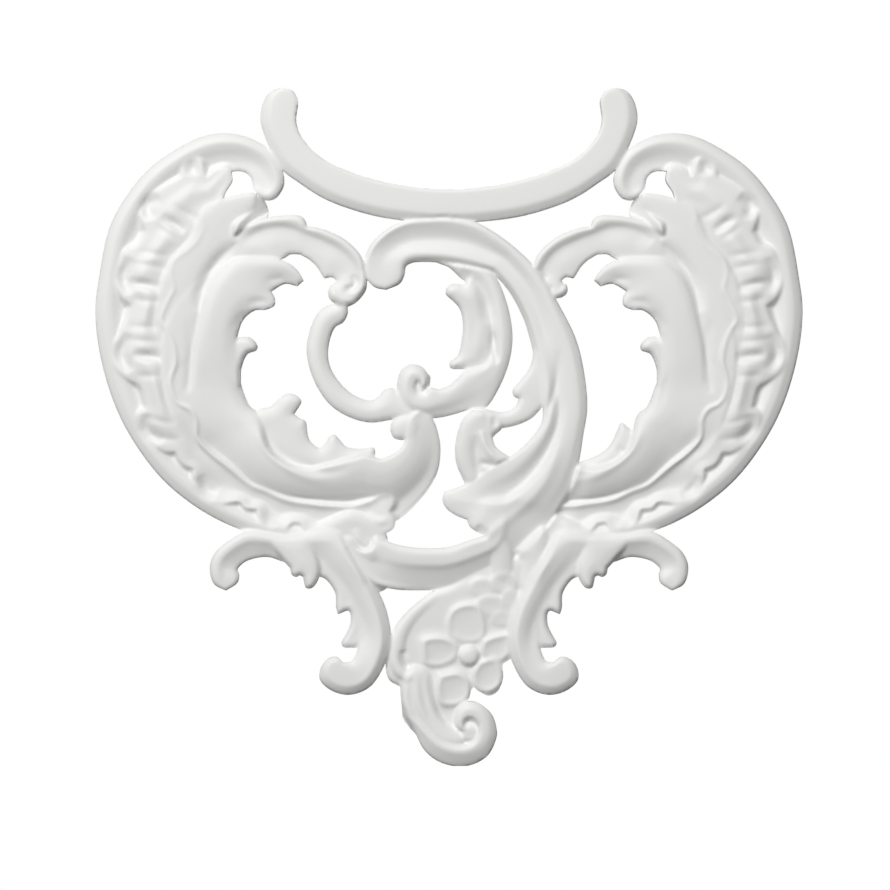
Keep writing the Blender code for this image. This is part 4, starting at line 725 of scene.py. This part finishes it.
def main_scroll(relief):
    """The great scroll: ball end, over the top, down the right and back along the bottom."""
    outer = curve(
        [(-63, 112.5), (-74, 115), (-82, 123), (-85.5, 136), (-83, 147), (-78, 157.5), (-64, 171.5),
         (-44, 181.5), (-19, 184.5), (0, 185), (26, 180), (51, 166), (81, 140.5), (99, 117.5), (107, 103),
         (127, 63), (136, 24), (138.3, -7), (134.5, -32), (130, -60), (121, -88), (103, -118), (81, -143),
         (41, -173), (0, -188), (-17, -188.5), (-54, -187.5), (-75, -181.5), (-90, -165), (-102, -145),
         (-106, -134)])
    inner = curve(
        [(-63, 112.5), (-49, 119), (-44.5, 128), (-43, 136), (-37, 139.5), (-19, 140.5), (10, 137),
         (31, 133), (44, 130)],
        [(59.5, 112), (69.5, 95), (76.5, 79), (81.5, 62), (84, 52), (89, 30), (94, -5), (93, -20),
         (81, -38), (61, -55), (40, -66), (21, -80), (2, -88), (-4, -90), (-6.5, -98), (-3, -106),
         (6, -113), (18, -118)],
        [(21, -125), (36, -134)],
        [(21, -138.5), (1, -145), (-24, -146.5), (-49, -143.5), (-74, -135)],
        [(-80, -148), (-90, -146), (-98, -136), (-106, -134)])
    relief.band(
        inner, outer, (0, 0.16, 0.38, 0.5, 0.82, 0.9, 1),
        {0: (14, 17, 18, 18, 17.5, 17, 15), 0.04: (12, 16.5, 17, 17, 18, 18, 16),
         0.09: (11, 17, 14.5, 13.5, 17.5, 19.5, 17), 0.18: (10.5, 17.5, 14.5, 13, 18.5, 20, 17),
         0.22: (7, 16.5, 14, 13, 19, 20, 16.5), 0.28: (4.5, 16, 14.5, 14.5, 19.5, 19.5, 15.5),
         0.33: (7, 16.5, 15, 16, 20, 19.5, 15), 0.38: (14, 18, 17, 18.5, 20.5, 18.5, 16),
         0.44: (17, 20, 15.5, 18.5, 20.5, 18.5, 16), 0.5: (18, 19.5, 14, 19, 19.5, 17.5, 15.5),
         0.56: (17, 17.5, 12.5, 20, 18, 16, 14.5), 0.62: (12, 14.5, 13.5, 19.5, 15.5, 13.5, 12.5),
         0.68: (10, 14, 18.5, 17.5, 12, 10.5, 9), 0.74: (14, 17.5, 17.8, 14.8, 8.8, 7.5, 6),
         0.86: (16, 18, 17.2, 14, 8, 6.5, 5), 0.94: (15.5, 16.5, 15.5, 14, 13.5, 15, 16),
         1: (15, 15, 15, 15.5, 16, 16.5, 17)}, soft=7, over=True)
    relief.stroke([(110, 52), (109, 32), (104, 8), (97, -12), (92, -24)], 3.2, -2.6, ends=0.3)
    relief.stroke(
        [(112, -40), (104, -62), (96, -79), (81, -98), (61, -116), (36, -134), (2, -145)], 5, 1.6)
    relief.stroke([(-95, -127), (-90, -136), (-80, -147), (-74, -158)], 4, 2.6, ends=0.3)
    relief.stroke([(142, -30), (137, -60), (127, -90), (108, -120), (90, -140)], 8, -2.4, ends=0.3)
    relief.stroke([(28, -124), (34, -130), (40, -132)], 4, -3, ends=0.3)


def stem_leaf(relief):
    """The leaf on the left of the great scroll's stem, reaching back to the small C end."""
    shape = ring(
        [(85, 52), (82, 37), (78, 30), (71, 21), (64, 12), (65, 6), (70, 3)],
        [(66, -5), (59, -9), (51, -10), (41, -8), (35, -7), (27, -15), (40, -26), (54, -26), (71, -22),
         (83, -16), (91, -8)],
        [(98, 0), (112, 25), (112, 50), (98, 68), (85, 52)])
    relief.lobe(shape, {0: 13, 5: 15, 14: 15.5}, fall=2)


open_circle(relief)
moon(relief)
main_scroll(relief)
stem_leaf(relief)


# The hanging spray of flowers on its hollow ground, with a plume and a rolled hook below it. The
# whole relief is then smoothed lightly, as paint and casting round every crease.

HOOK_EDGE = [(-33, -333), (-25, -348), (-12, -359), (6, -364.5), (23, -363), (39, -353.5), (47.5, -336),
             (48, -329), (43, -313), (31, -302), (19, -300)]


def flower_plaque(relief):
    """The ground of the hanging flower spray, with the C rim on its left and the hook below."""
    shape = ring(
        [(-17, -190), (-39, -207), (-54, -225), (-61, -245), (-63.5, -262), (-60, -278), (-49, -285)],
        [(-47, -308), (-46, -317), (-40, -325.5), *HOOK_EDGE],
        [(20, -290), (25, -285.5)],
        [(40, -294), (50, -288), (53, -273), (54, -262)],
        [(62, -256.5), (73, -240), (80, -200), (80, -160), (40, -165), (0, -185), (-17, -190)])
    relief.lobe(shape, {0: 5.5, 8: 7, 30: 7}, tilt=(0, 0.03), merge=4)
    lip = curve([(2, -188), (-22, -201), (-40, -218), (-50, -236), (-52, -252), (-49, -268), (-42, -275)])
    relief.bar(lip, {0: 4, 0.3: 6, 0.6: 8, 0.8: 9, 1: 6}, {0: 6, 0.3: 10, 0.7: 11, 1: 10.5}, foot=0.6)
    relief.stroke([(-46, -248), (-45, -260), (-38, -267)], 3.5, -3.5)
    plume = ring(
        [(-37, -264), (-25, -267), (-17, -278), (-15, -292), (-10, -312), (2, -326), (14, -334),
         (14, -344), (1, -347.5), (-12, -344), (-25, -335), (-36, -322), (-45, -308), (-48, -290),
         (-44, -275), (-37, -264)])
    relief.lobe(plume, {0: 10, 6: 12.5, 16: 13.5}, tilt=(-0.03, -0.04), merge=8)
    relief.strokes(
        [[(-38, -276), (-38, -296), (-31, -314), (-14, -333)],
         [(-28, -272), (-26, -292), (-19, -314), (-2, -334)]], 3, -1.6)
    relief.stroke([(-20, -274), (-17, -292), (-10, -312), (2, -327)], 2.4, -1.6)


def hook(relief):
    """The curl at the very bottom, rolled round its eye."""
    outer = curve([(-44, -312), (-38, -323), *HOOK_EDGE, (10, -306), (7, -316), (9, -326), (16, -329)])
    inner = curve(
        [(-44, -312), (-32, -319), (-20, -331), (-5, -341), (11, -344.5), (23, -341), (29, -332),
         (29, -323), (24, -317), (18, -316.5), (15, -320), (16, -329)])
    relief.band(
        outer, inner, (0, 0.15, 0.45, 0.75, 1),
        {0: (9, 10, 11, 12, 12), 0.2: (8, 10, 12.8, 15, 14.5), 0.5: (9, 11.5, 14.5, 16.5, 15),
         0.75: (10, 13, 16, 16, 13.5), 0.92: (11, 13, 15, 15, 12.5), 1: (13, 14, 14, 14, 13)}, edge=2,
        soft=5)
    floor = ring([(8, -308), (30, -308), (34, -326), (18, -334), (8, -326), (8, -308)])
    relief.lobe(floor, {0: 8, 5: 9.5}, merge=3)
    eye = ring([(14, -338), (22, -340), (28, -334), (27, -326), (20, -323), (14, -328), (14, -338)])
    relief.lobe(eye, {0: 12.5, 5: 13}, merge=5)


OVAL_POINTS = 60
PETALS = (([(-28, -246), (-27, -238), (-10, -234), (6, -240), (10, -250), (6, -259), (-12, -266),
            (-25, -262), (-28, -246)], (-0.04, 0.1)),
          ([(-2, -234), (-3, -220), (3, -207), (17, -201), (30, -203), (36, -218), (36, -234), (28, -241),
            (12, -241), (-2, -234)], (0.02, 0.09)),
          ([(34, -238), (46, -233), (62, -232), (64, -247), (53, -260), (38, -258), (32, -248), (34, -238)],
           (-0.08, 0.08)),
          ([(30, -259), (46, -256), (54, -270), (51, -285), (38, -292), (26, -286), (23, -272), (30, -259)],
           (0, 0.08)),
          ([(-10, -273), (10, -270), (21, -280), (19, -298), (6, -305), (-8, -303), (-13, -288), (-10, -273)],
           (-0.04, 0.06)))


def oval(x, z, half_width, half_height):
    """An oval outline round a middle."""
    angle = np.linspace(0, 2 * np.pi, OVAL_POINTS, endpoint=False)
    return np.stack([x + half_width * np.cos(angle), z + half_height * np.sin(angle)], 1)


def flower(relief):
    """Five dished petals with raised rims round a button, and the small flower and leaves above."""
    for points, tilt in PETALS:
        relief.lobe(ring(points), {0: 9, 3: 10.8, 7: 9.4, 16: 8.6}, tilt=tilt, edge=1.2, fall=0.6, merge=3)
    relief.lobe(oval(20.5, -254, 10, 10), {0: 11, 4: 13.5, 9: 14}, edge=1.8)
    for x, z, wide, high, top in ((34, -186, 15, 11, 11), (55, -181, 15, 12, 12), (61, -200, 10, 14, 11.5),
                                  (42, -204, 17, 12, 11), (54, -217, 13, 9, 10.5)):
        profile = {0: top - 1.5, 4: top - 0.5, 12: top - 1}
        relief.lobe(oval(x, z, wide, high), profile, tilt=(0, 0.09), edge=1.4, fall=0.6)
    relief.lobe(oval(53, -159, 11, 20), {0: 11, 4: 13, 10: 14}, edge=1.6, tilt=(0, 0.1), merge=4)
    leaf = ring(
        [(67, -148), (81, -134), (95, -124), (99, -133), (98, -150), (100, -158), (96, -168), (91, -182),
         (78, -192), (70, -184), (74, -162), (67, -148)])
    relief.lobe(leaf, {0: 9, 6: 12.5, 14: 14}, tilt=(0.03, 0.06), edge=2.6, fall=0.6, merge=6)


flower_plaque(relief)
hook(relief)
flower(relief)

SMOOTHING = 0.6
SMOOTHING_MARGIN = 1
near_form = (relief.inside > -SMOOTHING_MARGIN).astype(float)
relief.top = softened(relief.top, near_form, SMOOTHING / GRID_STEP)


# The casting: rigid polyurethane foam in one piece, with the flat back that lay on the mould's
# lid. The relief is laid over that back, thinned where it is smooth, and closed into a solid.

BACKING = 0.0040
CARVING_HEIGHT = 0.0105
LOWEST = 3.0
SNAP = 0.05
FACE_BUDGET = 190000
FLATNESS = 0.0004
SHARPEST_SMOOTH_EDGE = math.radians(60)
low_corner, high_corner = (np.array(corner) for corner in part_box("onlay"))
WIDTH = high_corner[0] - low_corner[0]


def surface(relief):
    """The relief at real size, as triangles cut off where it meets its outline.

    Each grid cell is two triangles; a triangle that the outline crosses keeps the part inside it.
    """
    rows, cols = relief.top.shape
    x, z = np.meshgrid(relief.x, relief.z)
    inside = relief.inside.ravel()
    inside = np.where(np.abs(inside) < SNAP * GRID_STEP, -SNAP * GRID_STEP, inside)
    points = np.stack([x.ravel(), relief.top.ravel(), z.ravel()], 1)
    index = np.arange(rows * cols).reshape(rows, cols)
    a, b = index[:-1, :-1].ravel(), index[:-1, 1:].ravel()
    c, d = index[1:, 1:].ravel(), index[1:, :-1].ravel()
    triangles = np.concatenate([np.stack([a, b, c], 1), np.stack([a, c, d], 1)])
    within = inside[triangles] > 0
    count = within.sum(1)
    whole = triangles[count == 3]

    def turned(kind, wanted):
        """The triangles with this many corners inside, turned so that the odd corner is first."""
        chosen = triangles[count == kind]
        first = np.argmax((inside[chosen] > 0) == wanted, axis=1)
        return chosen[np.arange(len(chosen))[:, None], (first[:, None] + np.arange(3)) % 3]

    one = turned(1, True)
    two = turned(2, False)
    pairs = np.concatenate([one[:, [0, 1]], one[:, [0, 2]], two[:, [1, 0]], two[:, [2, 0]]])
    edges, place = np.unique(np.sort(pairs, axis=1), axis=0, return_inverse=True)
    place = place.reshape(-1) + len(points)
    start, end = inside[edges[:, 0]], inside[edges[:, 1]]
    share = (start / (start - end))[:, None]
    cut = points[edges[:, 0]] * (1 - share) + points[edges[:, 1]] * share
    n, m = len(one), len(two)
    p, q = place[:n], place[n:2 * n]
    r, s = place[2 * n:2 * n + m], place[2 * n + m:]
    faces = np.concatenate([whole, np.stack([one[:, 0], p, q], 1),
                            np.stack([two[:, 1], two[:, 2], r], 1), np.stack([two[:, 2], s, r], 1)])
    points = np.concatenate([points, cut])
    used, faces = np.unique(largest_piece(faces), return_inverse=True)
    points = points[used]
    plan = WIDTH / np.ptp(points[:, 0])
    above = np.maximum(points[:, 1] - LOWEST, 0)
    height = BACKING + CARVING_HEIGHT * above / above.max()
    return np.stack([points[:, 0] * plan, -height, points[:, 2] * plan], 1), faces.reshape(-1, 3)


def largest_piece(faces):
    """Only the faces that hang together with most of the others."""
    label = np.arange(faces.max() + 1)
    while True:
        lowest = label[faces].min(1)
        before = label.copy()
        for corner in range(3):
            np.minimum.at(label, faces[:, corner], lowest)
        label = label[label]
        if (label == before).all():
            break
    names, counts = np.unique(label[faces[:, 0]], return_counts=True)
    return faces[label[faces[:, 0]] == names[np.argmax(counts)]]


def closed_solid(points, faces):
    """The surface, its shadow on the back plane and the walls between the two."""
    ends = np.concatenate([faces[:, [0, 1]], faces[:, [1, 2]], faces[:, [2, 0]]])
    ranked = np.sort(ends, axis=1)
    _, first, count = np.unique(ranked, axis=0, return_index=True, return_counts=True)
    rim_edges = ends[first[count == 1]]
    back = points * (1, 0, 1)
    offset = len(points)
    a, b = rim_edges[:, 0], rim_edges[:, 1]
    walls = np.concatenate([np.stack([b, a, a + offset], 1), np.stack([b, a + offset, b + offset], 1)])
    return np.concatenate([points, back]), np.concatenate([faces, faces[:, ::-1] + offset, walls])


def thinned(points, faces, wanted):
    """The mesh with its flatter faces merged until about this many triangles are left."""
    mesh = bpy.data.meshes.new("carving")
    mesh.from_pydata(points.tolist(), [], faces.tolist())
    helper = bpy.data.objects.new("carving", mesh)
    bpy.context.scene.collection.objects.link(helper)
    modifier = helper.modifiers.new("thin", "DECIMATE")
    modifier.ratio = min(wanted / len(faces), 1)
    graph = bpy.context.evaluated_depsgraph_get()
    made = bpy.data.meshes.new_from_object(helper.evaluated_get(graph))
    bpy.data.objects.remove(helper)
    bpy.data.meshes.remove(mesh)
    return made


onlay_mesh = thinned(*closed_solid(*surface(relief)), FACE_BUDGET)
points = np.empty(len(onlay_mesh.vertices) * 3)
onlay_mesh.vertices.foreach_get("co", points)
points = points.reshape(-1, 3)
points[:, 1] = np.where(points[:, 1] > -FLATNESS, 0, points[:, 1])
points = np.clip(points, low_corner, high_corner)
onlay_mesh.vertices.foreach_set("co", points.ravel())
onlay_mesh.polygons.foreach_set("use_smooth", np.ones(len(onlay_mesh.polygons), bool))
onlay_mesh.set_sharp_from_angle(angle=SHARPEST_SMOOTH_EDGE)
onlay_mesh.update()


# The finish: one sprayed coat of white primer, satin, with the faint orange peel and the slightly
# uneven thickness that spraying leaves.

PRIMER_WHITE = (0.87, 0.87, 0.86, 1)
PRIMER_WARM = (0.855, 0.85, 0.835, 1)
PRIMER_ROUGHNESS = 0.55
ROUGHNESS_SPREAD = 0.1
CLOUD_SCALE = 14.0
CLOUD_DETAIL = 3.0
CLOUD_TINT = 0.6
PEEL_SIZE = 0.0011
PEEL_DEPTH = 0.00003
PEEL_DETAIL = 1.0
PEEL_STRENGTH = 0.35
MIX_COLOUR = 2
MIX_COLOUR_A = 6
MIX_COLOUR_B = 7


class Socket:
    """A node's output, with arithmetic that adds Math nodes."""

    def __init__(self, tree, link):
        self.tree = tree
        self.link = link

    def math(self, operation, other):
        """One Math node on this output and another one or a number."""
        node = self.tree.nodes.new("ShaderNodeMath")
        node.operation = operation
        for place, value in enumerate((self, other)):
            if isinstance(value, Socket):
                self.tree.links.new(value.link, node.inputs[place])
            else:
                node.inputs[place].default_value = value
        return Socket(self.tree, node.outputs[0])

    def __add__(self, other):
        return self.math("ADD", other)

    def __mul__(self, other):
        return self.math("MULTIPLY", other)


class Finish:
    """A material whose nodes are added one by one, each from its type, its settings and its inputs."""

    def __init__(self, name):
        self.material = bpy.data.materials.new(name)
        self.material.use_nodes = True
        self.tree = self.material.node_tree
        self.shader = self.tree.nodes["Principled BSDF"]

    def feed(self, node, name, value):
        """One input of a node, from another node's output or set to a value."""
        if isinstance(value, Socket):
            self.tree.links.new(value.link, node.inputs[name])
        else:
            node.inputs[name].default_value = value

    def add(self, kind, output=0, settings=None, **inputs):
        """A new node; what comes back is the output of that number."""
        node = self.tree.nodes.new(kind)
        for name, value in (settings or {}).items():
            setattr(node, name, value)
        for name, value in inputs.items():
            self.feed(node, name.replace("_", " "), value)
        return Socket(self.tree, node.outputs[output])


primer = Finish("white primer")
place = primer.add("ShaderNodeTexCoord", "Object")
cloud = primer.add("ShaderNodeTexNoise", Vector=place, Scale=CLOUD_SCALE, Detail=CLOUD_DETAIL)
peel = primer.add("ShaderNodeTexNoise", Vector=place, Scale=1 / PEEL_SIZE, Detail=PEEL_DETAIL)
tone = primer.add("ShaderNodeMix", MIX_COLOUR, {"data_type": "RGBA"}, Factor=cloud * CLOUD_TINT)
tone_node = tone.link.node
tone_node.inputs[MIX_COLOUR_A].default_value = PRIMER_WHITE
tone_node.inputs[MIX_COLOUR_B].default_value = PRIMER_WARM
bump = primer.add("ShaderNodeBump", Height=peel, Strength=PEEL_STRENGTH, Distance=PEEL_DEPTH)
primer.feed(primer.shader, "Base Color", tone)
smoothest = PRIMER_ROUGHNESS - ROUGHNESS_SPREAD / 2
primer.feed(primer.shader, "Roughness", cloud * ROUGHNESS_SPREAD + smoothest)
primer.feed(primer.shader, "Normal", bump)

onlay = bpy.data.objects.new("onlay_casting", onlay_mesh)
bpy.context.scene.collection.objects.link(onlay)
onlay_mesh.materials.clear()
onlay_mesh.materials.append(primer.material)
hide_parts("onlay")
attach(onlay, "root")


# The studio: a white surround that only the camera sees, a pale floor well below the onlay, a
# large soft light from above on the left, a weaker one for the back, and a little light from all
# round.

SURROUND_RADIUS = 20.0
SURROUND_COLUMNS = 48
SURROUND_ROWS = 24
FLOOR_HEIGHT = -0.5
FLOOR_HALF_WIDTH = 2.0
FLOOR_GREY = 0.8
FLOOR_ROUGHNESS = 0.9
LAMP_DISTANCE = 3.0
LAMP_SIZE = 1.2
KEY_DIRECTION = (-0.30, -0.80, 0.52)
KEY_POWER = 82.0
BACK_DIRECTION = (0.35, 0.9, 0.3)
BACK_POWER = 38.0
ALL_ROUND_LIGHT = 0.12


def sheet(name, columns, rows, corner):
    """A grid of points, corner(u, v) of the two shares, made a mesh of four-sided faces."""
    u, v = np.meshgrid(np.linspace(0, 1, columns + 1), np.linspace(0, 1, rows + 1))
    index = np.arange(u.size).reshape(u.shape)
    faces = np.stack([index[:-1, :-1], index[:-1, 1:], index[1:, 1:], index[1:, :-1]], -1)
    mesh = bpy.data.meshes.new(name)
    spots = np.stack(corner(u, v), -1).reshape(-1, 3)
    mesh.from_pydata(spots.tolist(), [], faces.reshape(-1, 4).tolist())
    made = bpy.data.objects.new(name, mesh)
    bpy.context.scene.collection.objects.link(made)
    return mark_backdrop(made) or made


def floor_spot(u, v):
    """A flat square: x and y run across it, at the floor's height."""
    height = np.full(u.shape, FLOOR_HEIGHT)
    return (2 * u - 1) * FLOOR_HALF_WIDTH, (2 * v - 1) * FLOOR_HALF_WIDTH, height


def surround_spot(u, v):
    """A sphere: u goes once round it and v from its bottom to its top."""
    turn = 2 * np.pi * u
    rise = np.pi * (v - 0.5)
    level = SURROUND_RADIUS * np.cos(rise)
    return level * np.cos(turn), level * np.sin(turn), SURROUND_RADIUS * np.sin(rise)


floor = sheet("floor", 1, 1, floor_spot)
pale = Finish("pale floor")
pale.shader.inputs["Base Color"].default_value = (FLOOR_GREY, FLOOR_GREY, FLOOR_GREY, 1)
pale.shader.inputs["Roughness"].default_value = FLOOR_ROUGHNESS
floor.data.materials.append(pale.material)
floor.visible_diffuse = False

surround = sheet("surround", SURROUND_COLUMNS, SURROUND_ROWS, surround_spot)
white = Finish("white surround")
white.shader.inputs["Base Color"].default_value = (0, 0, 0, 1)
white.shader.inputs["Specular IOR Level"].default_value = 0
white.shader.inputs["Emission Color"].default_value = (1, 1, 1, 1)
white.shader.inputs["Emission Strength"].default_value = 1.0
surround.data.materials.append(white.material)
surround.visible_diffuse = False
surround.visible_glossy = False
surround.visible_transmission = False
surround.visible_shadow = False

world = bpy.data.worlds.new("studio")
world.use_nodes = True
world.node_tree.nodes["Background"].inputs["Color"].default_value = (1, 1, 1, 1)
world.node_tree.nodes["Background"].inputs["Strength"].default_value = ALL_ROUND_LIGHT
bpy.context.scene.world = world
bpy.context.scene.view_settings.view_transform = "Standard"


def aimed(name, data, position, target):
    """An object at a position that looks at a target, upright."""
    made = bpy.data.objects.new(name, data)
    bpy.context.scene.collection.objects.link(made)
    made.location = position
    made.rotation_euler = (Vector(target) - Vector(position)).to_track_quat("-Z", "Y").to_euler()
    return made


LAMPS = (("key", KEY_DIRECTION, KEY_POWER), ("back_light", BACK_DIRECTION, BACK_POWER))
for name, direction, power in LAMPS:
    lamp = bpy.data.lights.new(name, "AREA")
    lamp.shape = "SQUARE"
    lamp.size = LAMP_SIZE
    lamp.energy = power
    aimed(name, lamp, [part * LAMP_DISTANCE for part in direction], (0, 0, 0))


# The camera looks straight at the front through a long lens; the onlay hangs a little above and
# to the right of the middle of its square frame.

CAMERA_DISTANCE = 3.0
FRAME_WIDTH = 0.4463
FRAME_MIDDLE = (-0.0020, -0.0215)
SENSOR = 36.0
CLIP_END = 60.0
lens = bpy.data.cameras.new("camera")
lens.sensor_width = SENSOR
lens.lens = SENSOR * CAMERA_DISTANCE / FRAME_WIDTH
lens.clip_end = CLIP_END
across, upwards = FRAME_MIDDLE
camera = aimed("camera", lens, (across, -CAMERA_DISTANCE, upwards), (across, 0, upwards))
bpy.context.scene.camera = camera
